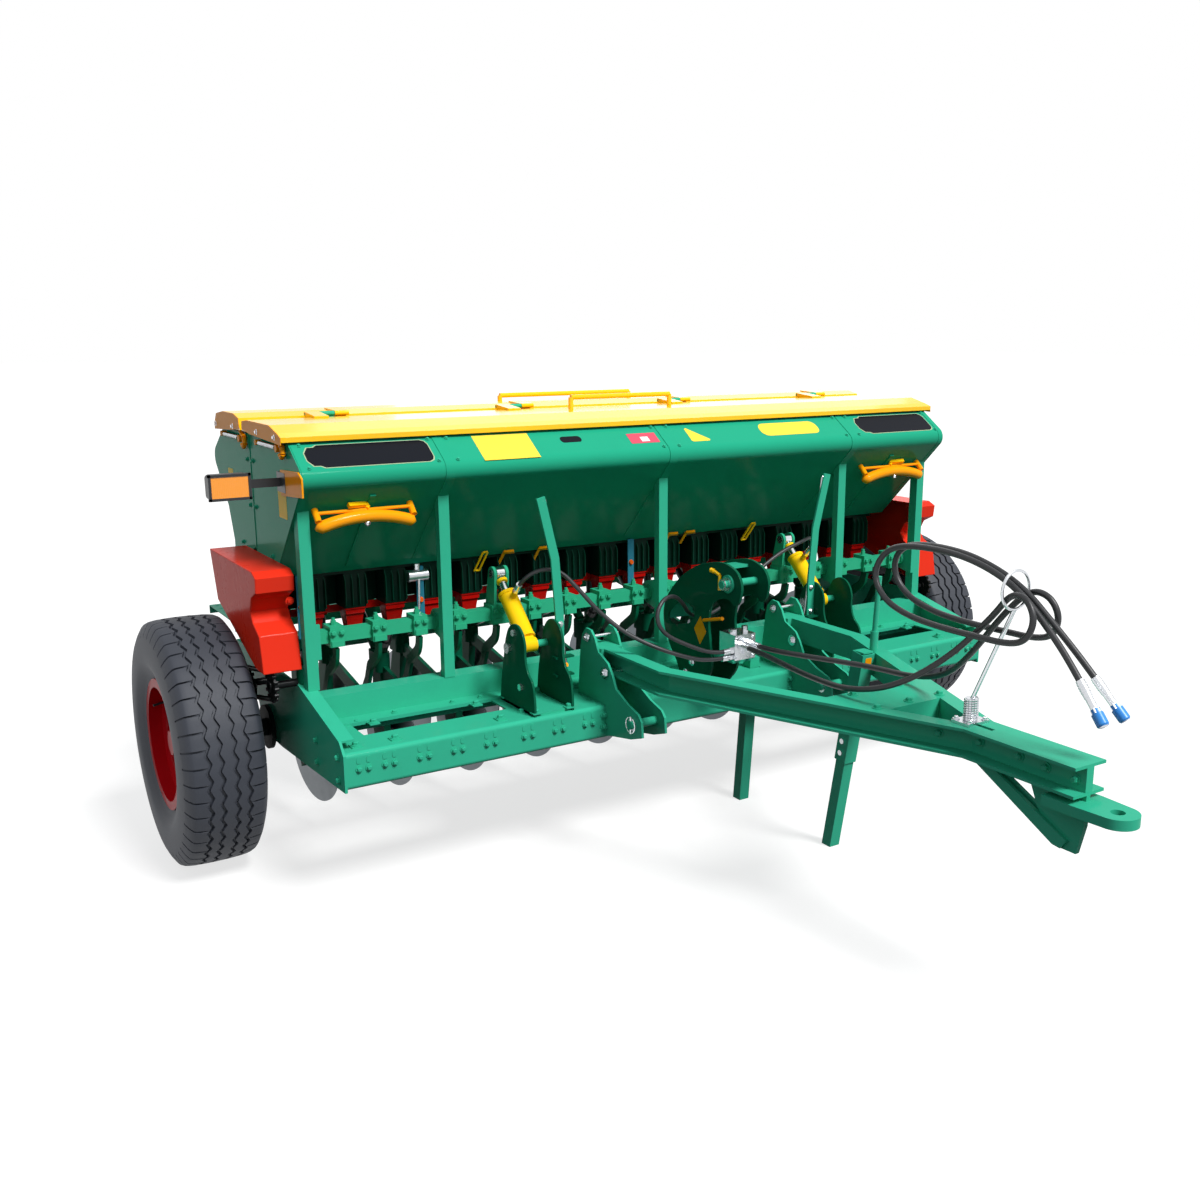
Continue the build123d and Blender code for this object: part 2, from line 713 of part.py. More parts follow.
with BuildPart() as lift_bearings:
    for post_x in POST_X:
        with BuildSketch(side(post_x - BEARING / 2)) as bearing_sketch:
            with Locations(SHAFT):
                Circle(JOURNAL_R + 13)
            with Locations((POST_Y[1] + 4, SHAFT[1])):
                Rectangle(8, 110)
            make_hull()
            with Locations(SHAFT):
                Circle(JOURNAL_R + FIT, mode=Mode.SUBTRACT)
        extrude(amount=BEARING)
    for x_start in mirrored(END_POST_X[0] - BEARING, END_POST_X[0]):
        with BuildSketch(side(x_start)):
            with Locations(SHAFT):
                Circle(JOURNAL_R + 13)
            with Locations((END_POST_Y[0] + 6, SHAFT[1])):
                Rectangle(12, 110)
            make_hull()
            with Locations(SHAFT):
                Circle(JOURNAL_R + FIT, mode=Mode.SUBTRACT)
        extrude(amount=BEARING)
lift_bearings.part.label = "lift_bearings"
export_step(lift_bearings.part, "parts/lift_bearings.step")

with BuildPart() as crank:
    for plate_x in (-CRANK_GAP / 2 - CRANK_T, CRANK_GAP / 2):
        with BuildSketch(side(plate_x)):
            with Locations(CRANK_EYE):
                Circle(CRANK_EYE_R)
            with Locations(SHAFT):
                Rectangle(CRANK_FOOT, CLAMP)
            make_hull()
        extrude(amount=CRANK_T)
    with BuildSketch(side(-CRANK_GAP / 2 - CRANK_T)):
        with Locations(CRANK_EYE):
            Circle(CYL_PIN_R)
    extrude(amount=CRANK_GAP + 2 * CRANK_T)
    with BuildSketch(side(-CRANK_BLOCK)):
        with Locations(SHAFT):
            Rectangle(CLAMP + 2 * GAP, CLAMP + 2 * GAP)
    extrude(amount=2 * CRANK_BLOCK, mode=Mode.SUBTRACT)
with BuildPart() as lift_shaft:
    with BuildSketch(side(-SHAFT_HALF)):
        with Locations(SHAFT):
            Rectangle(SHAFT_SIZE, SHAFT_SIZE)
    extrude(amount=2 * SHAFT_HALF)
    for journal_x in POST_X:
        with BuildSketch(side(journal_x - JOURNAL / 2)):
            with Locations(SHAFT):
                Circle(JOURNAL_R)
        extrude(amount=JOURNAL)
    for x_start in mirrored(SHAFT_HALF - JOURNAL, SHAFT_HALF):
        with BuildSketch(side(x_start)):
            with Locations(SHAFT):
                Circle(JOURNAL_R)
        extrude(amount=JOURNAL)
    for row_x in ROW_X:
        with BuildSketch(side(row_x - CLAMP_W / 2)):
            with Locations(SHAFT):
                Rectangle(CLAMP, CLAMP)
        extrude(amount=CLAMP_W)
    for name, sign in SIDES:
        with BuildSketch(side(sign * CYL_X - CRANK_BLOCK / 2)):
            with Locations(SHAFT):
                Rectangle(CLAMP, CLAMP)
        extrude(amount=CRANK_BLOCK)
    with Locations((-CYL_X, 0, 0), (CYL_X, 0, 0)):
        add(crank.part)
lift_shaft.part.label = "lift_shaft"
export_step(lift_shaft.part, "parts/lift_shaft.step")

with BuildPart() as spring_arm:
    with BuildSketch(side(-SPRING_T / 2)):
        with BuildLine():
            FilletPolyline(
                (SHAFT[0], SHAFT[1] - CLAMP / 2 - GAP),
                (SHAFT[0] + 8, 700),
                (SHAFT[0] + 84, 648),
                (SHAFT[0] + 112, 590),
                (SHAFT[0] + 140, 556),
                radius=[38, 38, 30],
            )
            offset(amount=SPRING_DEPTH, side=Side.RIGHT)
        make_face()
    extrude(amount=SPRING_T)
with BuildPart() as pressure_springs:
    with Locations(*[(row_x, 0, 0) for row_x in ROW_X]):
        add(spring_arm.part)
pressure_springs.part.label = "pressure_springs"
export_step(pressure_springs.part, "parts/pressure_springs.step")

# ---------------------------------------------------------------- lift cylinders
CYL_BASE = (-560.0, 712.0)
BARREL_R = 30.0
BARREL_START = 26.0
BARREL_END = 205.0
ROD_R = 13.0
ROD_START = 60.0
BASE_EYE_R = 24.0
BASE_EYE_W = 44.0
ROD_EYE_R = 22.0
ROD_EYE_W = 28.0
EYE_PLAY = 4.0
CYL_DY = CRANK_EYE[0] - CYL_BASE[0]
CYL_DZ = CRANK_EYE[1] - CYL_BASE[1]
CYL_LENGTH = math.hypot(CYL_DY, CYL_DZ)
CYL_UNIT = (CYL_DY / CYL_LENGTH, CYL_DZ / CYL_LENGTH)
PORT_ALONG = 175.0
PORT_RISE = 26.0
PORT_R = 10.0
PORT_FOOT = (CYL_BASE[0] + PORT_ALONG * CYL_UNIT[0], CYL_BASE[1] + PORT_ALONG * CYL_UNIT[1])


def above_port(distance):
    """A (y, z) point over the barrel's port, counted from the barrel's axis."""
    return (PORT_FOOT[0] - distance * CYL_UNIT[1], PORT_FOOT[1] + distance * CYL_UNIT[0])


def port_plane(x):
    """Plane across the port of the cylinder at x, on the barrel's axis."""
    return Plane(
        origin=(x, AXLE_Y + PORT_FOOT[0], PORT_FOOT[1]),
        x_dir=(1, 0, 0),
        z_dir=(0, -CYL_UNIT[1], CYL_UNIT[0]),
    )


for name, sign in SIDES:
    cyl_plane = Plane(
        origin=(sign * CYL_X, AXLE_Y + CYL_BASE[0], CYL_BASE[1]),
        x_dir=(1, 0, 0),
        z_dir=(0, CYL_DY, CYL_DZ),
    )
    with BuildPart() as cylinder_barrel:
        with BuildSketch(cyl_plane.offset(BARREL_START)):
            Circle(BARREL_R)
        extrude(amount=BARREL_END - BARREL_START)
        with BuildSketch(cyl_plane):
            Rectangle(BASE_EYE_W - 8, 1.5 * BASE_EYE_R)
        extrude(amount=BARREL_START + 2)
        with BuildSketch(side(sign * CYL_X - BASE_EYE_W / 2)):
            with Locations(CYL_BASE):
                Circle(BASE_EYE_R)
        extrude(amount=BASE_EYE_W)
        with BuildSketch(side(sign * CYL_X - BASE_EYE_W)):
            with Locations(CYL_BASE):
                Circle(CYL_PIN_R + FIT)
        extrude(amount=2 * BASE_EYE_W, mode=Mode.SUBTRACT)
        with BuildSketch(port_plane(sign * CYL_X)):
            Circle(PORT_R)
        extrude(amount=BARREL_R + PORT_RISE)
        with BuildSketch(cyl_plane.offset(ROD_START - 6)):
            Circle(ROD_R + FIT)
        extrude(amount=BARREL_END, mode=Mode.SUBTRACT)
    cylinder_barrel.part.label = f"cylinder_barrel_{name}"
    export_step(cylinder_barrel.part, f"parts/cylinder_barrel_{name}.step")

    with BuildPart() as cylinder_rod:
        with BuildSketch(cyl_plane.offset(ROD_START)):
            Circle(ROD_R)
        extrude(amount=CYL_LENGTH - ROD_EYE_R - ROD_START + 4)
        with BuildSketch(side(sign * CYL_X - ROD_EYE_W / 2)):
            with Locations(CRANK_EYE):
                Circle(ROD_EYE_R)
                Circle(CYL_PIN_R + EYE_PLAY, mode=Mode.SUBTRACT)
        extrude(amount=ROD_EYE_W)
    cylinder_rod.part.label = f"cylinder_rod_{name}"
    export_step(cylinder_rod.part, f"parts/cylinder_rod_{name}.step")

# ---------------------------------------------------------------- cylinder towers
TOWER_X = (548.0, 692.0)
TOWER_T = 8.0
TOWER_TOP = (-612.0, 716.0)
TOWER_R = 82.0
TOWER_FOOT = (-728.0, -432.0)
FOOT_H = 8.0

with BuildPart() as cylinder_towers:
    for name, sign in SIDES:
        low = min(sign * TOWER_X[0], sign * TOWER_X[1])
        for x_start in (low, low + TOWER_X[1] - TOWER_X[0] - TOWER_T):
            with BuildSketch(side(x_start)):
                with Locations(TOWER_TOP):
                    Circle(TOWER_R)
                with Locations(((TOWER_FOOT[0] + SLOT_Y[1]) / 2, BEAM_TOP + 30)):
                    Rectangle(SLOT_Y[1] - TOWER_FOOT[0], 60)
                make_hull()
            extrude(amount=TOWER_T)
        with BuildSketch(level(BEAM_TOP)):
            with Locations((low + (TOWER_X[1] - TOWER_X[0]) / 2, (TOWER_FOOT[0] + SLOT_Y[1]) / 2)):
                Rectangle(TOWER_X[1] - TOWER_X[0], SLOT_Y[1] - TOWER_FOOT[0])
        extrude(amount=FOOT_H)
        with BuildSketch(side(low)):
            with Locations(CYL_BASE):
                Circle(CYL_PIN_R)
        extrude(amount=TOWER_X[1] - TOWER_X[0])
cylinder_towers.part.label = "cylinder_towers"
export_step(cylinder_towers.part, "parts/cylinder_towers.step")

# Upright hand levers that stand on the towers' inner plates, bent outward at the middle.
LEVER_W = 30.0
LEVER_T = 8.0
LEVER_Y = -604.0
LEVER_POINTS = ((0.0, 600.0), (0.0, 810.0), (14.0, 1000.0), (62.0, 1200.0))

with BuildPart() as hand_levers:
    for name, sign in SIDES:
        root_x = sign * (TOWER_X[0] - LEVER_W - GAP)
        with BuildSketch(front(LEVER_Y)):
            with BuildLine():
                Polyline(*[(root_x + sign * reach, z) for reach, z in LEVER_POINTS])
                offset(amount=LEVER_W, side=Side.RIGHT if sign > 0 else Side.LEFT)
            make_face()
        extrude(amount=LEVER_T)
hand_levers.part.label = "hand_levers"
export_step(hand_levers.part, "parts/hand_levers.step")

# ---------------------------------------------------------------- headstock
HEAD_X = 60.0
HEAD_T = 10.0
TOP_PIN = (-890.0, 908.0)
TOP_PIN_R = 12.5
HEAD_R = 58.0
SHELF_Z = 650.0
SHELF = 8.0
SHELF_Y = -850.0
SHELF_D = 110.0

with BuildPart() as headstock:
    for x_start in mirrored(HEAD_X - HEAD_T, HEAD_X):
        with BuildSketch(side(x_start)):
            with BuildLine():
                Polyline(
                    (BEAM_FRONT, BEAM_TOP), (-800, 600), (-925, 740), (-960, 860),
                    (-950, 940), (-900, 966), (-780, 962), (-660, 915), (-540, 820),
                    (-450, 690), (TUBE_FRONT + 24, TUBE_TOP), (TUBE_FRONT, TUBE_TOP),
                    (TUBE_FRONT, BEAM_TOP + STRIP), (SLOT_Y[1], BEAM_TOP + STRIP),
                    (SLOT_Y[1], BEAM_TOP),
                    close=True,
                )
            make_face()
            with Locations(TOP_PIN):
                Circle(HEAD_R)
            with Locations((-640, 730)):
                Ellipse(95, 70, mode=Mode.SUBTRACT)
            with Locations((-640, 521)):
                Rectangle(110, 90, mode=Mode.SUBTRACT)
        extrude(amount=HEAD_T)
    with BuildSketch(side(-HEAD_X + HEAD_T)):
        with BuildLine():
            Polyline(
                (-780, 962), (-660, 915), (-540, 820), (-450, 690), (-457, 686),
                (-546, 813), (-663, 907), (-782, 953), close=True,
            )
        make_face()
    extrude(amount=2 * (HEAD_X - HEAD_T))
    with BuildSketch(level(SHELF_Z - SHELF)):
        with Locations((0, SHELF_Y)):
            Rectangle(2 * (HEAD_X - HEAD_T), SHELF_D)
    extrude(amount=SHELF)
    with BuildSketch(side(-HEAD_X - 30)):
        with Locations(TOP_PIN):
            Circle(TOP_PIN_R)
    extrude(amount=2 * HEAD_X + 60)
headstock.part.label = "headstock"
export_step(headstock.part, "parts/headstock.step")

# ---------------------------------------------------------------- lower link brackets
CHANNEL_H = 80.0
CHANNEL_W = 50.0
CHANNEL_WEB = 6.0
CHANNEL_FLANGE = 8.0
BAR_TOP = 700.0
BAR_LOW = BAR_TOP - CHANNEL_H
GUSSET_T = 14.0
BAR_INNER = GUSSET_T / 2
BAR_FRONT = -2262.0
BAR_BEND = -1900.0
BAR_KNEE = -1010.0
BAR_BACK = -570.0
BAR_REAR_INNER = 369.0

LINK_X = (343.0, 438.0)
PACKER_Y = (-700.0, -600.0)
LINK_T = 8.0
LINK_PIN = (-900.0, 500.0)
LINK_PIN_R = 14.0

with BuildPart() as lower_link_brackets:
    for name, sign in SIDES:
        low = min(sign * LINK_X[0], sign * LINK_X[1])
        for x_start in (low, low + LINK_X[1] - LINK_X[0] - LINK_T):
            with BuildSketch(side(x_start)):
                with BuildLine():
                    Polyline(
                        (-560, BEAM_TOP), (-580, 690), (-592, 732), (-616, 756), (-646, 754),
                        (-670, 732), (-692, 690), (-752, 664), (-776, 634), (-800, 590),
                        (-870, 558), (-932, 540), (-950, 520), (-955, 470),
                        (-890, 448), (BEAM_FRONT - GAP, BEAM_LOW + 10), (BEAM_FRONT - GAP, BEAM_TOP),
                        close=True,
                    )
                make_face()
            extrude(amount=LINK_T)
        with BuildSketch(side(low - 12)):
            with Locations(LINK_PIN):
                Circle(LINK_PIN_R)
        extrude(amount=LINK_X[1] - LINK_X[0] + 24)
        for start, end in (
            (LINK_X[0] + LINK_T, BAR_REAR_INNER),
            (BAR_REAR_INNER + CHANNEL_W, LINK_X[1] - LINK_T),
        ):
            with BuildSketch(level(BAR_LOW)):
                with Locations((sign * (start + end) / 2, sum(PACKER_Y) / 2)):
                    Rectangle(end - start, PACKER_Y[1] - PACKER_Y[0])
            extrude(amount=CHANNEL_H)
lower_link_brackets.part.label = "lower_link_brackets"
export_step(lower_link_brackets.part, "parts/lower_link_brackets.step")

# ---------------------------------------------------------------- drawbar
def bar_inner(y):
    """The x of a channel's web, on its inner side, at y."""
    if y <= BAR_BEND:
        return BAR_INNER
    if y >= BAR_KNEE:
        return BAR_REAR_INNER
    return BAR_INNER + (BAR_REAR_INNER - BAR_INNER) * (y - BAR_BEND) / (BAR_KNEE - BAR_BEND)


for name, sign in SIDES:
    with BuildPart() as drawbar_channel:
        spine = [(sign * bar_inner(y), y) for y in (BAR_FRONT, BAR_BEND, BAR_KNEE, BAR_BACK)]
        outer = Side.RIGHT if sign > 0 else Side.LEFT
        # z where the plate starts, its thickness, its width
        for low, height, width in (
            (BAR_LOW, CHANNEL_H, CHANNEL_WEB),
            (BAR_LOW, CHANNEL_FLANGE, CHANNEL_W),
            (BAR_TOP - CHANNEL_FLANGE, CHANNEL_FLANGE, CHANNEL_W),
        ):
            with BuildSketch(level(low)):
                with BuildLine():
                    Polyline(*spine)
                    offset(amount=width, side=outer, kind=Kind.INTERSECTION)
                make_face()
            extrude(amount=height)
    drawbar_channel.part.label = f"drawbar_channel_{name}"
    export_step(drawbar_channel.part, f"parts/drawbar_channel_{name}.step")

BRACE_Y = (-1680.0, -1500.0)
BRACE = 8.0

with BuildPart() as drawbar_brace:
    with BuildSketch(level(BAR_TOP - BRACE)):
        with BuildLine():
            Polyline(
                (-bar_inner(BRACE_Y[0]), BRACE_Y[0]), (bar_inner(BRACE_Y[0]), BRACE_Y[0]),
                (bar_inner(BRACE_Y[1]), BRACE_Y[1]), (-bar_inner(BRACE_Y[1]), BRACE_Y[1]),
                close=True,
            )
        make_face()
    extrude(amount=BRACE)
    for edge_y in (BRACE_Y[0], BRACE_Y[1] - BRACE):
        with BuildSketch(level(BAR_LOW + 10)):
            with BuildLine():
                Polyline(
                    (-bar_inner(edge_y), edge_y), (bar_inner(edge_y), edge_y),
                    (bar_inner(edge_y + BRACE), edge_y + BRACE),
                    (-bar_inner(edge_y + BRACE), edge_y + BRACE),
                    close=True,
                )
            make_face()
        extrude(amount=CHANNEL_H - 10 - BRACE)
drawbar_brace.part.label = "drawbar_brace"
export_step(drawbar_brace.part, "parts/drawbar_brace.step")

# ---------------------------------------------------------------- hitch
EYE_PLATE = 27.0
EYE_TOP = 605.0
EYE_PLATE_R = 52.0
EYE_BORE_R = 17.5
EYE_CENTRE = -FRONT_REACH + EYE_PLATE_R
STRUT_T = 10.0

with BuildPart() as hitch:
    with BuildSketch(side(-GUSSET_T / 2)):
        with BuildLine():
            Polyline(
                (-1960, BAR_TOP), (BAR_FRONT, BAR_TOP), (BAR_FRONT, 540), (-2244, 462),
                (-2196, 462), (-2120, 545), (-2086, BAR_LOW), (-1960, BAR_LOW),
                close=True,
            )
        make_face()
    extrude(amount=GUSSET_T)
    with BuildSketch(level(EYE_TOP - EYE_PLATE)):
        with BuildLine():
            Polyline(
                (-58, -2170), (58, -2170), (58, BAR_FRONT), (EYE_PLATE_R, EYE_CENTRE),
                (-EYE_PLATE_R, EYE_CENTRE), (-58, BAR_FRONT), close=True,
            )
        make_face()
        with Locations((0, EYE_CENTRE)):
            Circle(EYE_PLATE_R)
            Circle(EYE_BORE_R, mode=Mode.SUBTRACT)
    extrude(amount=EYE_PLATE)
    for x_start in mirrored(GUSSET_T / 2, GUSSET_T / 2 + STRUT_T):
        with BuildSketch(side(x_start)):
            with BuildLine():
                Polyline(
                    (-1890, BAR_LOW), (-1950, BAR_LOW), (-2222, 490), (-2205, 465), (-2180, 468),
                    close=True,
                )
            make_face()
        extrude(amount=STRUT_T)
hitch.part.label = "hitch"
export_step(hitch.part, "parts/hitch.step")

# ---------------------------------------------------------------- parking legs
def leg_plane(x, foot_y, lean, height):
    """Plane across a leg that leans back towards its foot, at a height above the ground."""
    tilt = math.radians(lean)
    return Plane(
        origin=(x, AXLE_Y + foot_y - height * math.tan(tilt), height),
        x_dir=(1, 0, 0),
        z_dir=(0, -math.sin(tilt), math.cos(tilt)),
    )


# name, x, foot y, lean, height of the leg's top
LEGS = (
    ("jack_leg", JACK_X, JACK_FOOT, JACK_LEAN, 460.0),
    ("stand_leg", STAND_X, STAND_FOOT, STAND_LEAN, 560.0),
)
for name, leg_x, foot_y, lean, top in LEGS:
    with BuildPart() as leg:
        with BuildSketch(leg_plane(leg_x, foot_y, lean, -20)):
            Rectangle(LEG_SIZE, LEG_SIZE)
        extrude(amount=(top + 20) / math.cos(math.radians(lean)))
        split(bisect_by=Plane.XY, keep=Keep.TOP)
    leg.part.label = name
    export_step(leg.part, f"parts/{name}.step")

jack_y = JACK_FOOT - (BAR_LOW + CHANNEL_H / 2) * math.tan(math.radians(JACK_LEAN))
with BuildPart() as jack_tube:
    with BuildSketch(leg_plane(JACK_X, JACK_FOOT, JACK_LEAN, JACK_LOW)):
        Rectangle(JACK_TUBE, JACK_TUBE)
        Rectangle(LEG_SIZE + 0.6, LEG_SIZE + 0.6, mode=Mode.SUBTRACT)
    extrude(amount=(JACK_TOP - JACK_LOW) / math.cos(math.radians(JACK_LEAN)))
    with BuildSketch(level(BAR_LOW + 10)):
        with BuildLine():
            Polyline(
                (JACK_X + JACK_TUBE / 2 - JACK_WALL / 2, jack_y - 20),
                (bar_inner(jack_y - 20), jack_y - 20),
                (bar_inner(jack_y + 20), jack_y + 20),
                (JACK_X + JACK_TUBE / 2 - JACK_WALL / 2, jack_y + 20),
                close=True,
            )
        make_face()
    extrude(amount=CHANNEL_H - 20)
jack_tube.part.label = "jack_tube"
export_step(jack_tube.part, "parts/jack_tube.step")

with BuildPart() as stand_socket:
    with BuildSketch(leg_plane(STAND_X, STAND_FOOT, STAND_LEAN, BEAM_LOW + 16)):
        Rectangle(JACK_TUBE, JACK_TUBE)
        Rectangle(LEG_SIZE + 0.6, LEG_SIZE + 0.6, mode=Mode.SUBTRACT)
    extrude(amount=BEAM_TOP - BEAM_LOW)
    split(bisect_by=Plane.XY.offset(BEAM_TOP - BEAM_SHEET), keep=Keep.BOTTOM)
stand_socket.part.label = "stand_socket"
export_step(stand_socket.part, "parts/stand_socket.step")

# ---------------------------------------------------------------- drive guards
GUARD_X = (HOPPER_HALF, 1430.0)
GUARD_SHEET = 4.0
GUARD_OUTLINE = (
    (168, 1000), (112, 838), (-300, 690), (-374, 690), (-352, 806), (-296, 836),
    (-272, 868), (-296, 912), (-346, 936), (-352, 984), (-318, 1000),
)

with BuildPart() as drive_guards:
    for x_start, hollow_start in (
        (-GUARD_X[1], -GUARD_X[1] + GUARD_SHEET),
        (GUARD_X[0], GUARD_X[0]),
    ):
        with BuildSketch(side(x_start)):
            with BuildLine():
                Polyline(*GUARD_OUTLINE, close=True)
            make_face()
        extrude(amount=GUARD_X[1] - GUARD_X[0])
        with BuildSketch(side(hollow_start)):
            with BuildLine():
                Polyline(*GUARD_OUTLINE, close=True)
            make_face()
            offset(amount=-GUARD_SHEET, mode=Mode.REPLACE)
        extrude(amount=GUARD_X[1] - GUARD_X[0] - GUARD_SHEET, mode=Mode.SUBTRACT)
drive_guards.part.label = "drive_guards"
export_step(drive_guards.part, "parts/drive_guards.step")

# ---------------------------------------------------------------- rear walkway
WALK_Z = 640.0
WALK_T = 34.0
WALK_SHEET = 4.0
WALK_FRONT = 430.0
WALK_HALF = 1300.0
WALK_ARM_X = (-1240.0, -420.0, 420.0, 1240.0)
WALK_ARM_W = 10.0

with BuildPart() as walkway:
    with BuildSketch(side(-WALK_HALF)):
        with BuildLine():
            FilletPolyline(
                (WALK_FRONT, WALK_Z), (WALK_FRONT, WALK_Z + WALK_T),
                (REAR_REACH, WALK_Z + WALK_T), (REAR_REACH, WALK_Z),
                radius=8,
            )
            offset(amount=WALK_SHEET, side=Side.RIGHT)
        make_face()
    extrude(amount=2 * WALK_HALF)
walkway.part.label = "walkway"
export_step(walkway.part, "parts/walkway.step")

with BuildPart() as walkway_arms:
    for arm_x in WALK_ARM_X:
        with BuildSketch(side(arm_x - WALK_ARM_W / 2)):
            with BuildLine():
                Polyline(
                    (REAR_TUBE_Y[1], REAR_TUBE_Z[0]), (REAR_TUBE_Y[1], REAR_TUBE_Z[1]),
                    (WALK_FRONT + 14, WALK_Z),
                    (WALK_FRONT + 14, WALK_Z + WALK_T - WALK_SHEET),
                    (REAR_REACH - 40, WALK_Z + WALK_T - WALK_SHEET), (REAR_REACH - 40, WALK_Z - 10),
                    close=True,
                )
            make_face()
        extrude(amount=WALK_ARM_W)
walkway_arms.part.label = "walkway_arms"
export_step(walkway_arms.part, "parts/walkway_arms.step")

# ---------------------------------------------------------------- lamp
LAMP_X = (-1540.0, -1420.0)
LAMP_Z = (1226.0, 1300.0)
LAMP_Y = -300.0
LAMP_D = 38.0

with BuildPart() as lamp:
    with BuildSketch(front(LAMP_Y)) as lamp_face:
        with Locations((sum(LAMP_X) / 2, sum(LAMP_Z) / 2)):
            RectangleRounded(LAMP_X[1] - LAMP_X[0], LAMP_Z[1] - LAMP_Z[0], 12)
    extrude(amount=LAMP_D)
    with BuildSketch(front(LAMP_Y)):
        with Locations(((LAMP_X[1] - HOPPER_HALF) / 2 - 14, sum(LAMP_Z) / 2)):
            Rectangle(-HOPPER_HALF - LAMP_X[1] + 28, 26)
    extrude(amount=-6)
    with BuildSketch(side(-HOPPER_HALF - 6)):
        with Locations((LAMP_Y - 6, sum(LAMP_Z) / 2)):
            Rectangle(80, 60)
    extrude(amount=6)
lamp.part.label = "lamp"
export_step(lamp.part, "parts/lamp.step")

# ---------------------------------------------------------------- grip bars
GRIP_X = (940.0, 1260.0)
GRIP_Z = 1180.0
GRIP_R = 11.0
GRIP_STANDOFF = 62.0


def slope_plane(z):
    """Plane lying on the front compartment's sloping underside, facing out, at height z."""
    y = FRONT_BULGE[0] + (z - FRONT_BULGE[1]) * (FRONT_TROUGH[0] - FRONT_BULGE[0]) / (
        FRONT_TROUGH[1] - FRONT_BULGE[1]
    )
    normal = (0, FRONT_TROUGH[1] - FRONT_BULGE[1], FRONT_BULGE[0] - FRONT_TROUGH[0])
    return Plane(origin=(0, AXLE_Y + y, z), x_dir=(1, 0, 0), z_dir=normal)


with BuildPart() as grip_bars:
    for x_start in mirrored(*GRIP_X):
        x_end = x_start + GRIP_X[1] - GRIP_X[0]
        with BuildSketch(slope_plane(GRIP_Z)):
            with Locations((x_start + 20, 0), (x_end - 20, 0)):
                Circle(GRIP_R)
        extrude(amount=GRIP_STANDOFF)
        with BuildSketch(Plane(slope_plane(GRIP_Z).offset(GRIP_STANDOFF - GRIP_R).origin,
                               x_dir=(0, 1, 0), z_dir=(1, 0, 0)).offset(x_start)):
            Circle(GRIP_R + 4)
        extrude(amount=x_end - x_start)
grip_bars.part.label = "grip_bars"
export_step(grip_bars.part, "parts/grip_bars.step")

# ---------------------------------------------------------------- valve block
BLOCK_X = 42.0
BLOCK_Y = (-905.0, -820.0)
BLOCK_TOP = 735.0

with BuildPart() as valve_block:
    with BuildSketch(level(SHELF_Z)):
        with Locations((0, sum(BLOCK_Y) / 2)):
            Rectangle(2 * BLOCK_X, BLOCK_Y[1] - BLOCK_Y[0])
    extrude(amount=BLOCK_TOP - SHELF_Z)
valve_block.part.label = "valve_block"
export_step(valve_block.part, "parts/valve_block.step")

# ---------------------------------------------------------------- hose stand
RING_CENTRE = (-2000.0, 1080.0)
RING_R = 50.0
RING_ROD_R = 4.0
STAND_ROD_R = 6.0
COIL_R = 17.0
STAND_BASE = -1880.0

with BuildPart() as hose_stand:
    with BuildSketch(level(BAR_TOP)):
        with Locations((0, STAND_BASE)):
            Rectangle(80, 60)
    extrude(amount=8)
    with BuildSketch(level(BAR_TOP + 8)):
        with Locations((0, STAND_BASE)):
            Circle(COIL_R)
    extrude(amount=60)
    foot_y = STAND_BASE
    foot_z = BAR_TOP + 60
    ring_foot = (RING_CENTRE[0], RING_CENTRE[1] - RING_R)
    rod_rise = (ring_foot[0] - foot_y, ring_foot[1] - foot_z)
    rod_plane = Plane(
        origin=(0, AXLE_Y + foot_y, foot_z), x_dir=(1, 0, 0), z_dir=(0, rod_rise[0], rod_rise[1])
    )
    with BuildSketch(rod_plane):
        Circle(STAND_ROD_R)
    extrude(amount=math.hypot(*rod_rise))
    with BuildSketch(side(0)) as ring_section:
        with Locations((RING_CENTRE[0], RING_CENTRE[1] - RING_R)):
            Circle(RING_ROD_R)
    revolve(axis=Axis((0, AXLE_Y + RING_CENTRE[0], RING_CENTRE[1]), (0, 1, 0)))
hose_stand.part.label = "hose_stand"
export_step(hose_stand.part, "parts/hose_stand.step")

# ---------------------------------------------------------------- drop tubes
# The telescopic tubes hang from the outlet boxes into the openers' cups, one from each unit.
SEAT = 0.3

with BuildPart() as drop_tubes:
    for rank, (work_y, arm_end, cup_y, cup_top) in RANKS.items():
        for meter_y, hole in zip(METER_Y, (-TUBE_SPACING / 2, TUBE_SPACING / 2)):
            for row_x in rank_rows(rank):
                with BuildSketch(level(BOX_LOW - SEAT)):
                    with Locations((row_x, meter_y)):
                        Circle(TUBE_R)
                with BuildSketch(level(cup_top + SEAT)):
                    with Locations((row_x, cup_y + hole)):
                        Circle(TUBE_R)
                loft()
drop_tubes.part.label = "drop_tubes"
export_step(drop_tubes.part, "parts/drop_tubes.step")

# ---------------------------------------------------------------- hydraulic hoses
# Each route is a row of corners (x, y, z); a corner is rounded by the shorter run beside it.
HOSE_R = 8.5
CYL_HOSE_R = 7.0
COUPLER_R = 13.0
COUPLER = 78.0
MAIN_HOSE = (
    (20, BLOCK_Y[0], 700), (20, -1000, 700), (66, -1180, 708), (116, -1380, 718),
    (124, -1550, 724), (98, -1700, 770), (46, -1830, 870), (18, -1945, 1000),
    (33, -2015, 1080), (40, -2072, 1075), (46, -2103, 1027), (51, -2084, 973),
    (52, -2030, 954), (52, -1930, 952), (50, -1800, 950), (48, -1680, 957),
    (44, -1580, 985), (38, -1530, 1045), (28, -1555, 1110), (22, -1625, 1143),
    (16, -1790, 1148), (11, -1915, 1126), (11, -2020, 1084), (14, -2112, 1012),
    (22, -2196, 940), (32, -2262, 872),
)
PORT_END = above_port(BARREL_R + PORT_RISE)
PORT_TURN = above_port(BARREL_R + PORT_RISE + 66)
PORT_OVER = above_port(BARREL_R + PORT_RISE + 116)
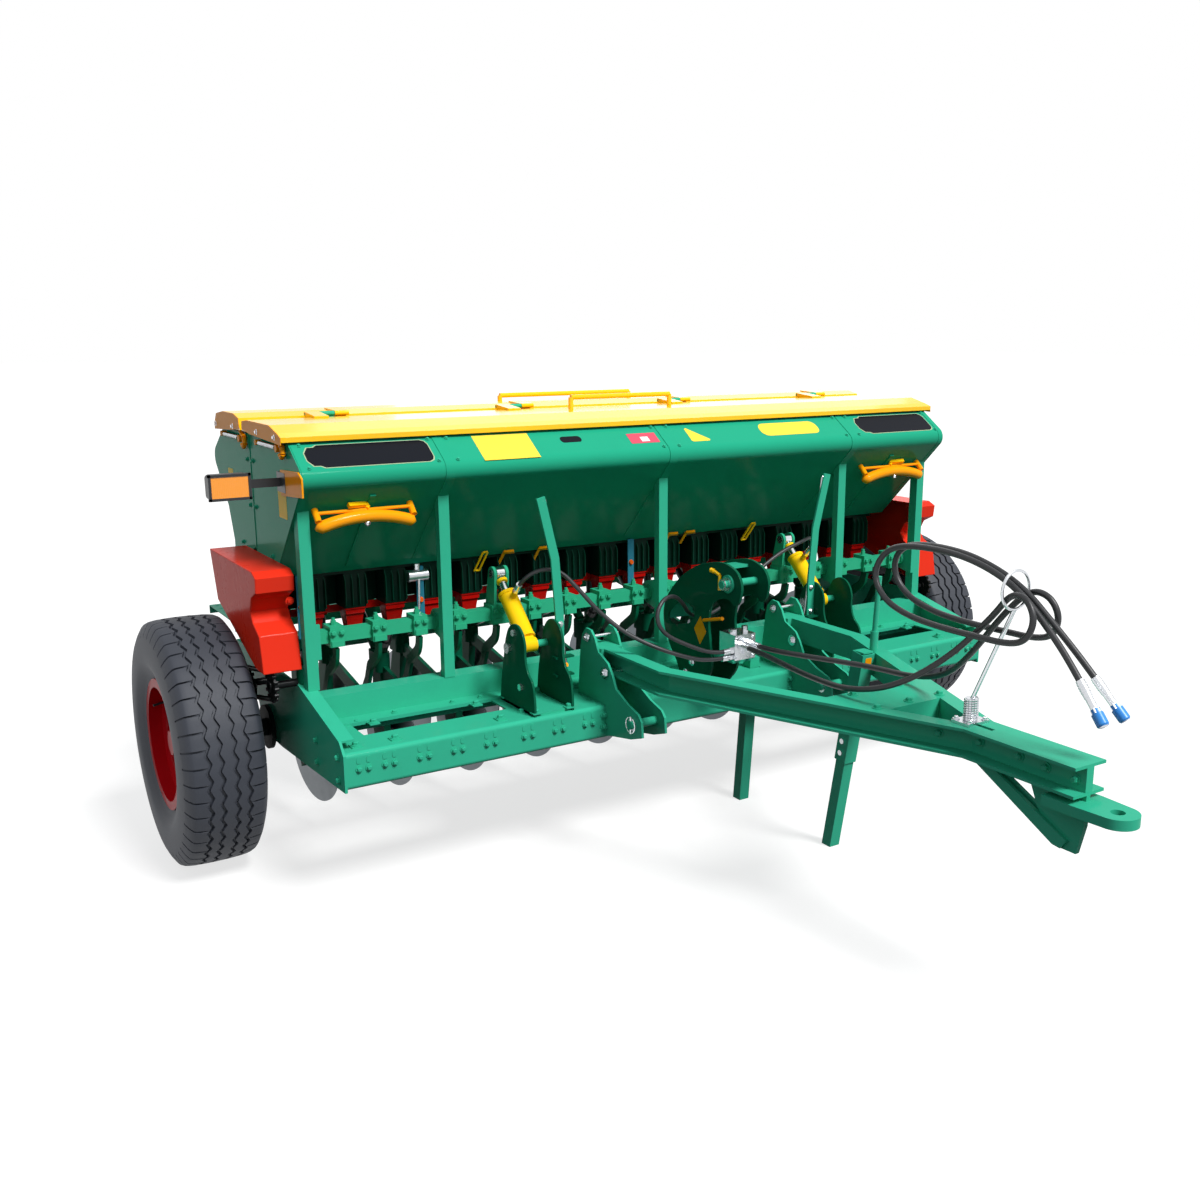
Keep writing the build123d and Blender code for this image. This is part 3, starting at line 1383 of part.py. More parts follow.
HOSE_LEFT = (
    (-BLOCK_X, -888, 660), (-140, -888, 660), (-235, -893, 690), (-330, -868, 728),
    (-408, -805, 775), (-455, -725, 835), (-478, -645, 893), (-510, -580, 950),
    (50 - CYL_X, *PORT_OVER), (-CYL_X, *PORT_TURN), (-CYL_X, *PORT_END),
)
HOSE_RIGHT = (
    (-BLOCK_X, -893, 682), (-115, -893, 682), (-200, -884, 715), (-300, -862, 768),
    (-316, -848, 826), (-281, -835, 874), (-215, -805, 874), (-140, -745, 826),
    (-70, -680, 768), (-5, -650, 742), (80, -632, 748), (165, -615, 785),
    (245, -600, 838), (330, -590, 885), (415, -585, 925), (510, -580, 950),
    (CYL_X - 50, *PORT_OVER), (CYL_X, *PORT_TURN), (CYL_X, *PORT_END),
)


def corner_radii(points):
    """One radius for each corner of a hose: 0.45 x shorter run / tan(half the turn)."""
    radii = []
    for before, here, after in zip(points, points[1:], points[2:]):
        run_in = Vector(*here) - Vector(*before)
        run_out = Vector(*after) - Vector(*here)
        half_turn = math.radians(run_in.get_angle(run_out)) / 2
        radii.append(0.45 * min(run_in.length, run_out.length) / math.tan(half_turn))
    return radii


def on_machine(points, flip=1):
    """Hose corners in the machine's frame, mirrored left to right when flip is -1."""
    return [(flip * x, AXLE_Y + y, z) for x, y, z in points]


# name, corners, radius of the tube
HOSES = (
    ("main_hose_a", on_machine(MAIN_HOSE, -1), HOSE_R),
    ("main_hose_b", on_machine(MAIN_HOSE), HOSE_R),
    ("cylinder_hose_left", on_machine(HOSE_LEFT), CYL_HOSE_R),
    ("cylinder_hose_right", on_machine(HOSE_RIGHT), CYL_HOSE_R),
)
for name, corners, tube_r in HOSES:
    radii = corner_radii(corners)
    start = Vector(*corners[0])
    start_plane = Plane(origin=start, z_dir=Vector(*corners[1]) - start)
    with BuildPart() as hose:
        with BuildLine() as hose_line:
            FilletPolyline(*corners, radius=radii)
        with BuildSketch(start_plane):
            Circle(tube_r)
        sweep(path=hose_line.wires()[0])
    hose.part.label = name
    export_step(hose.part, f"parts/{name}.step")
    length = hose_line.wires()[0].length
    share = hose.part.volume / (math.pi * tube_r**2 * length)
    print(name, "length", round(length), "radii", [round(r) for r in radii], "volume", round(share, 4))

for name, flip in (("a", -1), ("b", 1)):
    corners = on_machine(MAIN_HOSE, flip)
    end = Vector(*corners[-1])
    coupler_plane = Plane(origin=end, z_dir=end - Vector(*corners[-2]))
    with BuildPart() as coupler:
        with BuildSketch(coupler_plane):
            Circle(HOSE_R + 1.5)
        extrude(amount=COUPLER * 0.4)
        with BuildSketch(coupler_plane.offset(COUPLER * 0.4)):
            RegularPolygon(COUPLER_R, 6)
        extrude(amount=COUPLER * 0.25)
        with BuildSketch(coupler_plane.offset(COUPLER * 0.65)):
            Circle(COUPLER_R - 2)
        extrude(amount=COUPLER * 0.35)
    coupler.part.label = f"coupler_{name}"
    export_step(coupler.part, f"parts/coupler_{name}.step")
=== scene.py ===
from math import acos, cos, hypot, pi, radians, sin, sqrt, tan

import bmesh
import bpy
from mathutils import Matrix, Vector


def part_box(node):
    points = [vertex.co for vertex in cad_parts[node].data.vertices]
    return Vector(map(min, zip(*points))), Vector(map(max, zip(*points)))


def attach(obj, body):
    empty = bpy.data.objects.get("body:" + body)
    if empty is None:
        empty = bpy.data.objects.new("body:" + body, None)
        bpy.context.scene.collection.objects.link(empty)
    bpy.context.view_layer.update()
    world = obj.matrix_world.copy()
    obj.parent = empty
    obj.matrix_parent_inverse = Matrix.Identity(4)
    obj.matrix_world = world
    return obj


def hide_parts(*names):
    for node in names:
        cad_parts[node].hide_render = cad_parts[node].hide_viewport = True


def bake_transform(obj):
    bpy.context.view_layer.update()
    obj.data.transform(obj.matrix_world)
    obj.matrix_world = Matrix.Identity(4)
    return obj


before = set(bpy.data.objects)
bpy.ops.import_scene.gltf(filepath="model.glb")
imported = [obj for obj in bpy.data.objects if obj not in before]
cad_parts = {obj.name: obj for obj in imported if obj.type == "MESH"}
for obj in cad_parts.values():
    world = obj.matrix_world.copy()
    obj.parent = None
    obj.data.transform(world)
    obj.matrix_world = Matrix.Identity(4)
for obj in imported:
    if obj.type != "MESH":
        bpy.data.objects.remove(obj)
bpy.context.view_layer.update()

# ------------ camera and studio
# A standing viewer off the machine's left front corner looks down on it a little.
# The studio is a plain white floor under a broad soft key from the front right.
AXLE = (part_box("tyre_left")[0][1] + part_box("tyre_left")[1][1]) / 2


def mm(x, y, z):
    """A point of the machine: millimetres, y counted from the wheel axle, z from the ground."""
    return Vector((x / 1000, AXLE + y / 1000, z / 1000))


def linked(name, data):
    """A new object in the scene."""
    made = bpy.data.objects.new(name, data)
    scene.collection.objects.link(made)
    return made


scene = bpy.context.scene
camera_data = bpy.data.cameras.new("camera")
camera_data.sensor_width = 36
camera_data.lens = 37.01
camera_data.shift_x = -0.0358
camera_data.shift_y = 0.0122
camera_data.clip_end = 200
camera = linked("camera", camera_data)
forward = Vector((0.5304, 0.8164, -0.2286)).normalized()
right = Vector((0.8386, -0.5448, 0)).normalized()
up = right.cross(forward)
turned = Matrix((right, up, -forward)).transposed().to_4x4()
camera.matrix_world = Matrix.Translation(mm(-2428, -4024, 1726)) @ turned
scene.camera = camera
scene.view_settings.view_transform = "Standard"


def srgb(text):
    """Linear colour with alpha from a hex string such as #1E9E6A."""
    values = [int(text[i:i + 2], 16) / 255 for i in (1, 3, 5)]
    return [v / 12.92 if v <= 0.04045 else ((v + 0.055) / 1.055) ** 2.4 for v in values] + [1.0]


def node(tree, kind, links=(), **values):
    """Adds a shader node, sets its inputs or attributes and links its inputs."""
    made = tree.nodes.new("ShaderNode" + kind)
    for key, value in values.items():
        name = key.replace("_", " ")
        if name in made.inputs:
            made.inputs[name].default_value = value
        else:
            setattr(made, key, value)
    for socket, source in links:
        tree.links.new(source, made.inputs[socket])
    return made


def bare_material(name):
    """A material with an empty node tree, and that tree."""
    material = bpy.data.materials.new(name)
    material.use_nodes = True
    material.node_tree.nodes.clear()
    return material, material.node_tree


def seen_mix(tree, dull, shown):
    """shown for camera, glossy and transmission rays, which see the studio; dull for the rest."""
    paths = node(tree, "LightPath")
    total = paths.outputs["Is Camera Ray"]
    for output in ("Is Glossy Ray", "Is Transmission Ray"):
        step = node(
            tree, "Math", [(0, total), (1, paths.outputs[output])],
            operation="ADD", use_clamp=True,
        )
        total = step.outputs[0]
    sources = [(0, total), (1, dull.outputs[0]), (2, shown.outputs[0])]
    return node(tree, "MixShader", sources).outputs[0]


world = bpy.data.worlds.new("studio")
world.use_nodes = True
tree = world.node_tree
tree.nodes.clear()
sky = node(tree, "Background", Color=srgb("#F4F8FF"), Strength=0.42)
white = node(tree, "Background", Color=(1, 1, 1, 1), Strength=1)
node(tree, "OutputWorld", [("Surface", seen_mix(tree, sky, white))])
scene.world = world

floor_mesh = bpy.data.meshes.new("floor")
floor_bm = bmesh.new()
bmesh.ops.create_grid(floor_bm, x_segments=1, y_segments=1, size=60)
floor_bm.to_mesh(floor_mesh)
floor_bm.free()
floor = linked("floor", floor_mesh)
floor.location = (0, 0, -0.0005)
floor_material, tree = bare_material("studio_floor_paint")
floor_paint = node(tree, "BsdfDiffuse", Color=srgb("#9A9A99"))
floor_glow = node(tree, "Emission", Color=(1, 1, 1, 1), Strength=0.72)
floor_lit = node(tree, "AddShader", [(0, floor_paint.outputs[0]), (1, floor_glow.outputs[0])])
floor_dull = node(tree, "BsdfDiffuse", Color=srgb("#2A2A29"))
node(tree, "OutputMaterial", [("Surface", seen_mix(tree, floor_dull, floor_lit))])
floor_mesh.materials.append(floor_material)

# the size is an angle for the sun and metres for an area
for name, kind, energy, size, place, aim in (
    ("key", "SUN", 3.8, 0.3, (0.9, -3.4, 4.2), (0, 0, 0)),
    ("fill", "AREA", 12, 6.0, (-6.5, -4.5, 3.2), (-0.5, 0, 0.7)),
    ("rim", "AREA", 90, 5.0, (3.5, 5.5, 4), (0, 0, 0.8)),
):
    light_data = bpy.data.lights.new(name, kind)
    light_data.energy = energy
    setattr(light_data, "angle" if kind == "SUN" else "size", size)
    light = linked(name, light_data)
    light.location = place
    light.rotation_euler = (Vector(aim) - Vector(place)).to_track_quat("-Z", "Y").to_euler()


# ------------ hydraulic hoses
# Two long hoses run from the valve block over the drawbar to a spring stand,
# loop once in its ring and hang to their couplers. Two short ones feed the cylinders.
def patterned(name):
    """A bare material, its tree and the link that lays a pattern on the object."""
    material, tree = bare_material(name)
    return material, tree, [("Vector", node(tree, "TexCoord").outputs["Object"])]


def surfaced(tree, gloss_noise, low, high, bump_noise, bump, depth, links=(), **values):
    """Ends a tree: one noise moves the roughness from low to high, one gives the bump."""
    grey = [("Value", gloss_noise.outputs["Fac"])]
    gloss = node(tree, "MapRange", grey, To_Min=low, To_Max=high)
    relief = [("Height", bump_noise.outputs["Fac"])]
    height = node(tree, "Bump", relief, Strength=bump, Distance=depth)
    sources = [("Roughness", gloss.outputs["Result"]), ("Normal", height.outputs["Normal"]), *links]
    shader = node(tree, "BsdfPrincipled", sources, **values)
    node(tree, "OutputMaterial", [("Surface", shader.outputs[0])])


def rubber(name, base, roughness, grain_mm, bump):
    """Satin black rubber with a fine fabric-like grain."""
    material, tree, place = patterned(name)
    grain = node(tree, "TexNoise", place, Scale=1000 / grain_mm, Detail=4, Roughness=0.6)
    surfaced(
        tree, grain, roughness - 0.08, roughness + 0.1, grain, bump, 0.0006, Base_Color=srgb(base)
    )
    return material


def metal(name, base, roughness, grain_mm=2, bump=0.05):
    """Bare metal with a fine grain in its gloss."""
    material, tree, place = patterned(name)
    scaled = node(tree, "Mapping", place, Scale=[1000 / grain_mm] * 3)
    grain = node(tree, "TexNoise", [("Vector", scaled.outputs["Vector"])], Scale=1, Detail=3)
    surfaced(
        tree, grain, max(roughness - 0.1, 0.04), roughness + 0.12, grain, bump, 0.0004,
        Base_Color=srgb(base), Metallic=1,
    )
    return material


def finished(name, bm, material, body="frame", sharp=35):
    """The bmesh as a smooth-shaded object that rides on a body."""
    bmesh.ops.recalc_face_normals(bm, faces=bm.faces)
    mesh = bpy.data.meshes.new(name)
    bm.to_mesh(mesh)
    bm.free()
    mesh.materials.append(material)
    mesh.shade_smooth()
    mesh.set_sharp_from_angle(angle=radians(sharp))
    made = linked(name, mesh)
    if body:
        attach(made, body)
    return made


def rod(bm, start, end, r, segments=20, end_r=None):
    """A round bar or cone from one point to another."""
    axis = end - start
    turn = axis.to_track_quat("Z", "Y").to_matrix().to_4x4()
    bmesh.ops.create_cone(
        bm, cap_ends=True, segments=segments, radius1=r, radius2=r if end_r is None else end_r,
        depth=axis.length, matrix=Matrix.Translation((start + end) / 2) @ turn,
    )


def on_line(bm, start, way, *bars):
    """Round bars on a line: each from and to a distance from start, its radius and segments."""
    for near, far, *rest in bars:
        rod(bm, start + way * near, start + way * far, *rest)


def pin(bm, x0, x1, y, z, r, segments=20):
    """A round bar along X."""
    rod(bm, mm(x0, y, z), mm(x1, y, z), r, segments)


def zinc_piece(name, bm, body="frame"):
    """Bolts, pins and washers in zinc-plated steel."""
    return finished(name, bm, zinc, body)


def curve_mesh(guide):
    """The mesh of a curve object."""
    bpy.context.view_layer.update()
    graph = bpy.context.evaluated_depsgraph_get()
    return bpy.data.meshes.new_from_object(guide.evaluated_get(graph))


def dress(material, *names):
    """Gives CAD nodes their material."""
    for name in names:
        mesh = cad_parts[name].data
        mesh.materials.clear()
        mesh.materials.append(material)


hose_rubber = rubber("hydraulic_hose_rubber", "#1D1F22", 0.42, 1.6, 0.25)
zinc = metal("zinc_plated_steel", "#D5D8DC", 0.24)
steel = metal("bright_steel", "#B4B8BC", 0.3)
chrome = metal("hard_chrome", "#E3E6E9", 0.1)
main_hose = (
    (20, -905, 700), (20, -1000, 700), (66, -1180, 708), (116, -1380, 718),
    (124, -1550, 724), (98, -1700, 770), (46, -1830, 870), (18, -1945, 1000),
    (33, -2015, 1080), (40, -2072, 1075), (46, -2103, 1027), (51, -2084, 973),
    (52, -2030, 954), (52, -1930, 952), (50, -1800, 950), (48, -1680, 957),
    (44, -1580, 985), (38, -1530, 1045), (28, -1555, 1110), (22, -1625, 1143),
    (16, -1790, 1148), (11, -1915, 1126), (11, -2020, 1084), (14, -2112, 1012),
    (22, -2196, 940), (32, -2262, 872),
)


def moulded(name, texture, scale, bump, **values):
    """Moulded plastic of one gloss with a texture in its relief."""
    material, tree, place = patterned(name)
    pattern = node(tree, texture, place, Scale=scale)
    relief = [("Height", pattern.outputs["Fac"])]
    height = node(tree, "Bump", relief, Strength=bump, Distance=0.001)
    shader = node(tree, "BsdfPrincipled", [("Normal", height.outputs["Normal"])], **values)
    node(tree, "OutputMaterial", [("Surface", shader.outputs[0])])
    return material


def hose_curve(name, points, r):
    """A hose as one open NURBS spline of the given points."""
    curve = bpy.data.curves.new(name, "CURVE")
    curve.dimensions = "3D"
    curve.resolution_u = 12
    curve.bevel_depth = r
    curve.bevel_resolution = 6
    curve.use_fill_caps = True
    spline = curve.splines.new("NURBS")
    spline.points.add(len(points) - 1)
    for knot, point in zip(spline.points, points):
        knot.co = (*point, 1)
    spline.order_u = 3
    spline.use_endpoint_u = True
    curve.materials.append(hose_rubber)
    return linked(name, curve)


blue_plastic = moulded(
    "blue_moulded_plastic", "TexNoise", 900, 0.05, Base_Color=srgb("#2F8BDC"), Roughness=0.35
)
for name, flip in (("a", -1), ("b", 1)):
    points = [mm(flip * x, y, z) for x, y, z in main_hose]
    hose = hose_curve(f"main_hose_{name}_skin", points, 0.0085)
    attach(hose, "frame")
    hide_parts(f"main_hose_{name}")
    bm = bmesh.new()
    first = (points[1] - points[0]).normalized()
    last = (points[-1] - points[-2]).normalized()
    rings = [(0.022 + 0.007 * i, 0.026 + 0.007 * i, 0.0122, 24) for i in range(4)]
    on_line(bm, points[0], first, (0.001, 0.05, 0.0115, 24), *rings, (-0.0005, 0.016, 0.0135, 6))
    rings = [(0.007 * i - 0.038, 0.007 * i - 0.034, 0.0122, 24) for i in range(4)]
    on_line(bm, points[-1], last, (-0.045, 0.001, 0.0113, 24), *rings)
    ferrules = zinc_piece(f"hose_ferrules_{name}", bm)
    bm = bmesh.new()
    on_line(
        bm, points[-1] + last * 0.078, last, (-0.034, -0.004, 0.015, 28),
        (-0.004, 0, 0.015, 28, 0.0115), (-0.046, -0.034, 0.012, 28),
    )
    cap = finished(f"coupler_cap_{name}", bm, blue_plastic)
    dress(zinc, f"coupler_{name}")

port_unit = Vector((0, -0.695027, 0.718984))
port_foot = Vector((0, AXLE - 0.434178, 0.833619))


def over_port(x, rise):
    """A point above a cylinder's port, counted from the barrel's axis in millimetres."""
    return Vector((x / 1000, 0, 0)) + port_foot + port_unit * rise / 1000


for name, side, length, places in (
    ("left", -1, 0.9, (
        (-42, -888, 660), (-140, -888, 660), (-235, -893, 690), (-330, -868, 728),
        (-408, -805, 775), (-455, -725, 835), (-478, -645, 893), (-510, -580, 950),
    )),
    ("right", 1, 1.5, (
        (-42, -893, 682), (-115, -893, 682), (-200, -884, 715), (-300, -862, 768),
        (-316, -848, 826), (-281, -835, 874), (-215, -805, 874), (-140, -745, 826),
        (-70, -680, 768), (-5, -650, 742), (80, -632, 748), (165, -615, 785),
        (245, -600, 838), (330, -590, 885), (415, -585, 925), (510, -580, 950),
    )),
):
    points = [mm(*place) for place in places]
    points += [over_port(side * x, rise) for x, rise in ((570, 172), (620, 122), (620, 56))]
    guide = hose_curve(f"cylinder_hose_{name}_guide", points, 0)
    route = [v.co.copy() for v in curve_mesh(guide).vertices]
    guide.data.bevel_depth = 0.007
    skin = curve_mesh(guide)
    skin.materials.clear()
    skin.materials.append(hose_rubber)
    skin.shade_smooth()
    hose = linked(f"cylinder_hose_{name}_skin", skin)
    bpy.data.objects.remove(guide)
    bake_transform(hose)
    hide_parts(f"cylinder_hose_{name}")
    bm = bmesh.new()
    left = Vector((-1, 0, 0))
    on_line(bm, points[0], left, (0, 0.04, 0.01, 20), (-0.002, 0.013, 0.0115, 6))
    near = zinc_piece(f"cylinder_hose_{name}_ferrule", bm)
    bm = bmesh.new()
    on_line(bm, points[-1], port_unit, (0, 0.038, 0.01, 20), (-0.001, 0.013, 0.0115, 6))
    far = zinc_piece(f"cylinder_hose_{name}_swivel", bm, f"cylinder_{name}")


# ------------ wheels
# Implement tyres with four zigzag grooves and thin slits in both shoulders, on dished red
# steel wheels that six nuts hold.
def paint(name, base, roughness, coat, grime="#20241F", wear=0.12, peel=0.12):
    """Enamel on steel: orange peel in the gloss and a little dust where the noise gathers."""
    material, tree, place = patterned(name)
    clouds = node(tree, "TexNoise", place, Scale=6, Detail=6, Roughness=0.65)
    dust = node(
        tree, "MapRange", [("Value", clouds.outputs["Fac"])],
        From_Min=0.5, From_Max=0.85, To_Max=wear,
    )
    colour = node(
        tree, "Mix", [("Factor", dust.outputs["Result"])],
        data_type="RGBA", A=srgb(base), B=srgb(grime),
    )
    fine = node(tree, "TexNoise", place, Scale=260, Detail=2, Roughness=0.5)
    surfaced(
        tree, clouds, roughness - 0.05, roughness + 0.1, fine, peel, 0.0004,
        [("Base Color", colour.outputs["Result"])],
        Coat_Weight=coat, Coat_Roughness=0.12, Specular_IOR_Level=0.01,
    )
    return material


tyre_rubber = rubber("tyre_rubber", "#2A2E37", 0.62, 3.0, 0.35)
rim_red = paint("red_wheel_enamel", "#C8101C", 0.3, 0.175)
GROOVE_DEPTH, BEAD_R, BEAD_X, AXLE_Z, PERIODS = 9, 196, 100.6, 405, 46
PHASES = (0.0, 0.02, 0.1, 0.12, 0.25, 0.31, 0.5, 0.52, 0.6, 0.62, 0.75, 0.81)
# place across the tread, radius, share of the zigzag, cut (1 groove, 2 shoulder slit)
HALF = (
    (-BEAD_X, 219, 0, 0), (-112, 238, 0, 0), (-126, 262, 0, 0), (-130, 282, 0, 0),
    (-129.5, 312, 0, 0), (-127.5, 340, 0, 0), (-125.5, 352, 0, 0), (-124, 360, 0, 2),
    (-116, 378, 0, 2), (-106, 394, 0, 2), (-98, 398, 0.1, 2), (-84, 400.5, 0.4, 2),
    (-64, 402.5, 1, 0), (-62, 402.6, 1, 1), (-55, 402.8, 1, 1), (-53, 403, 1, 0),
    (-27, 404.2, 1, 0), (-25, 404.2, 1, 1), (-18, 404.3, 1, 1), (-16, 404.3, 1, 0),
)
SECTION = HALF + tuple((-x, r, share, cut) for x, r, share, cut in reversed(HALF))
SIDES = (("left", -1), ("right", 1))
for name, side in SIDES:
    wheel_x = side * 1560
    bm = bmesh.new()
    rings, inner = [], []
    for period in range(PERIODS):
        for phase in PHASES:
            angle = 2 * pi * (period + phase) / PERIODS
            wave = 1 - 4 * abs(((phase + 0.22) % 1) - 0.5)
            ring = []
            for x, r, share, cut in SECTION:
                slit = phase in ((0.02, 0.1) if x < 0 else (0.52, 0.6))
                if cut == 1 or cut == 2 and slit:
                    r -= GROOVE_DEPTH
                shift = 6.5 * wave * share + (1.6 if cut == 1 and slit else 0)
                ring.append(bm.verts.new(
                    mm(wheel_x + x + shift, r * sin(angle), AXLE_Z + r * cos(angle))
                ))
            rings.append(ring)
            inner.append((angle, []))
    for angle, pair in inner:
        for x in (-BEAD_X, BEAD_X):
            place = mm(wheel_x + x, BEAD_R * sin(angle), AXLE_Z + BEAD_R * cos(angle))
            pair.append(bm.verts.new(place))
    for index, ring in enumerate(rings):
        lower = rings[(index + 1) % len(rings)]
        for column in range(len(SECTION) - 1):
            bm.faces.new((ring[column], ring[column + 1], lower[column + 1], lower[column]))
    for index, ring in enumerate(rings):
        after = (index + 1) % len(rings)
        lower, here, there = rings[after], inner[index][1], inner[after][1]
        bm.faces.new((ring[0], lower[0], there[0], here[0]))
        bm.faces.new((here[0], there[0], there[1], here[1]))
        bm.faces.new((here[1], there[1], lower[-1], ring[-1]))
    tread = finished(f"tyre_{name}_tread", bm, tyre_rubber, f"wheel_{name}", 38)
    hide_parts(f"tyre_{name}")

    bm = bmesh.new()
    for step in range(6):
        angle = 2 * pi * (step + 0.5) / 6
        y, z = 102 * sin(angle), AXLE_Z + 102 * cos(angle)
        for x0, x1, *size in ((23, 27, 0.0165, 24), (27, 42, 0.0135, 6), (42, 52, 0.008, 16)):
            pin(bm, wheel_x + side * x0, wheel_x + side * x1, y, z, *size)
    finished(f"wheel_nuts_{name}", bm, zinc, f"wheel_{name}", 30)
    bm = bmesh.new()
    rod(bm, mm(wheel_x + side * 96, 150, 495), mm(wheel_x + side * 55, 156, 501), 0.0042, 12)
    finished(f"tyre_valve_{name}", bm, hose_rubber, f"wheel_{name}", 30)
dress(rim_red, "rim_left", "rim_right")


# ------------ main frame
# Folded and welded box sections in one green enamel: a slotted front beam, two cross
# tubes and side plates, held together by hex bolts.
green = paint("green_frame_enamel", "#33AE8B", 0.3, 0.1125, wear=0.1)
# painted shade: a darker copy of the frame green for parts that stand in shade (headstock, cylinder
# towers and their plates, lever brackets, pressure springs, opener arms)
green_painted_shade = paint("green_shaded_enamel", "#0A5A40", 0.4, 0.075, wear=0.2)
cast_black = paint("black_cast_iron", "#1C2422", 0.5, 0.05, wear=0.2, peel=0.3)
dress(
    green, "front_beam", "rear_beam", "rear_frame_tube", "end_plates", "drawbar_channel_left",
    "drawbar_channel_right", "drawbar_brace", "hitch", "jack_tube", "stand_socket", "jack_leg",
    "stand_leg", "lower_link_brackets", "hopper_posts", "lift_bearings", "opener_pivot",
    "walkway_arms", "hopper_ends", "hopper_divider",
)
# the headstock and the cylinder towers take the painted shade copy of the green
dress(green_painted_shade, "headstock", "cylinder_towers")
dress(cast_black, "stub_axles")


def bolt(bm, place, way, r, washer=True):
    """A hex head on a round washer, standing on place and facing way."""
    way, rise = way.normalized(), 0.0
    if washer:
        rod(bm, place, place + way * 0.0025, r * 1.45, 20)
        rise = 0.0025
    edge = rise + r * 0.75
    on_line(bm, place, way, (rise, edge, r, 6), (edge, rise + r * 0.95, r * 0.92, 6, r * 0.7))


def outline_plate(bm, corners, place, thickness):
    """A flat plate over corners (u, v); place(u, v, out) puts them on the machine."""
    low = [bm.verts.new(place(u, v, -0.2)) for u, v in corners]
    high = [bm.verts.new(place(u, v, thickness)) for u, v in corners]
    bm.faces.new(high)
    bm.faces.new(list(reversed(low)))
    for i in range(len(corners)):
        j = (i + 1) % len(corners)
        bm.faces.new((low[i], low[j], high[j], high[i]))


def rounded(u0, v0, u1, v1, r, steps=5):
    """Corners of a rectangle rounded by r."""
    corners = []
    for cu, cv, start in (
        (u1 - r, v1 - r, 0), (u0 + r, v1 - r, 90), (u0 + r, v0 + r, 180), (u1 - r, v0 + r, 270)
    ):
        for step in range(steps + 1):
            a = radians(start + 90 * step / steps)
            corners.append((cu + r * cos(a), cv + r * sin(a)))
    return corners


def green_piece(name, bm, material=None, body="frame"):
    """A part in the frame's green enamel, or in a darker or glossier green."""
    return finished(name, bm, material or green, body)


def rectangle(u0, v0, u1, v1):
    """Corners of a rectangle."""
    return [(u0, v0), (u1, v0), (u1, v1), (u0, v1)]


UP, FRONT, RIGHT = Vector((0, 0, 1)), Vector((0, -1, 0)), Vector((1, 0, 0))
BEAM_TOP = 521
bm = bmesh.new()
for side in (-1, 1):
    for x, y, z, r in (
        (470, -470, BEAM_TOP, 0.0085), (640, -470, BEAM_TOP, 0.0085),
        (1180, -470, BEAM_TOP, 0.0085), (1270, -470, BEAM_TOP, 0.0085),
        (700, -650, BEAM_TOP, 0.0085), (1290, -650, BEAM_TOP, 0.0085),
        (750, -455, 527, 0.0075), (850, -455, 527, 0.0075),
        (1050, -455, 527, 0.0075), (1250, -455, 527, 0.0075),
    ):
        bolt(bm, mm(side * x, y, z), UP, r)
    for y, z in ((-690, 500), (-500, 430), (-690, 430), (-500, 500)):
        bolt(bm, mm(side * 1320, y, z), RIGHT * side, 0.009)
    for x in (side * 420, side * 790, side * 1140, side * 1262):
        for y in (-505, -682):
            corners = rounded(x - 17, y - 17, x + 17, y + 17, 2)
            outline_plate(bm, corners, lambda u, v, t: mm(u, v, BEAM_TOP + t), 4)
            bolt(bm, mm(x, y, 525), UP, 0.01)
green_piece("frame_bolts", bm)


# ------------ hopper
# A long folded seed box of glossy sheet: a leaning upper panel, a rounded bulge and a
# steep slope below, with joint strips, small bolts and blank plates on its front.
HOPPER_END = 1312
hopper_green = paint("green_gloss_sheet_enamel", "#22A17D", 0.2, 0.1, wear=0.05)
dress(hopper_green, "hopper_front_wall", "hopper_rear_wall", "hopper_ends")
PANEL_TOP, PANEL_LOW = Vector((0, -371, 1385)), Vector((0, -508, 1291))
PANEL_DOWN = (PANEL_LOW - PANEL_TOP).normalized()
PANEL_OUT = Vector((0, PANEL_DOWN.z, -PANEL_DOWN.y))


def on_panel(x, down, out):
    """A point of the leaning upper panel: along it, down it and out from it, in mm."""
    place = PANEL_TOP + PANEL_DOWN * down + PANEL_OUT * out
    return mm(x, place.y, place.z)


def band(bm, profile, x0, x1, thickness):
    """A strip of sheet that follows a (y, z) profile and stands out on its left side."""
    outer = []
    for i, point in enumerate(profile):
        before = profile[max(i - 1, 0)]
        after = profile[min(i + 1, len(profile) - 1)]
        along = Vector((after[0] - before[0], after[1] - before[1])).normalized()
        outer.append((point[0] + along.y * thickness, point[1] - along.x * thickness))
    rows = []
    for low, high in zip(profile, outer):
        edges = ((x0, low), (x0, high), (x1, high), (x1, low))
        rows.append([bm.verts.new(mm(x, y, z)) for x, (y, z) in edges])
    for a, b in zip(rows, rows[1:]):
        for i in range(4):
            bm.faces.new((a[i], a[(i + 1) % 4], b[(i + 1) % 4], b[i]))
    bm.faces.new(rows[0])
    bm.faces.new(list(reversed(rows[-1])))


def bend_points(corner_before, corner, corner_after, r, steps=8):
    """Points of the arc that rounds a corner of a (y, z) profile."""
    a = (Vector(corner_before) - Vector(corner)).normalized()
    b = (Vector(corner_after) - Vector(corner)).normalized()
    half = acos(max(-1, min(1, a.dot(b)))) / 2
    centre = Vector(corner) + (a + b).normalized() * (r / sin(half))
    start = Vector(corner) + a * (r / tan(half)) - centre
    end = Vector(corner) + b * (r / tan(half)) - centre
    turn = start.angle_signed(end)
    return [
        tuple(centre + Matrix.Rotation(-turn * i / steps, 2) @ start) for i in range(steps + 1)
    ]


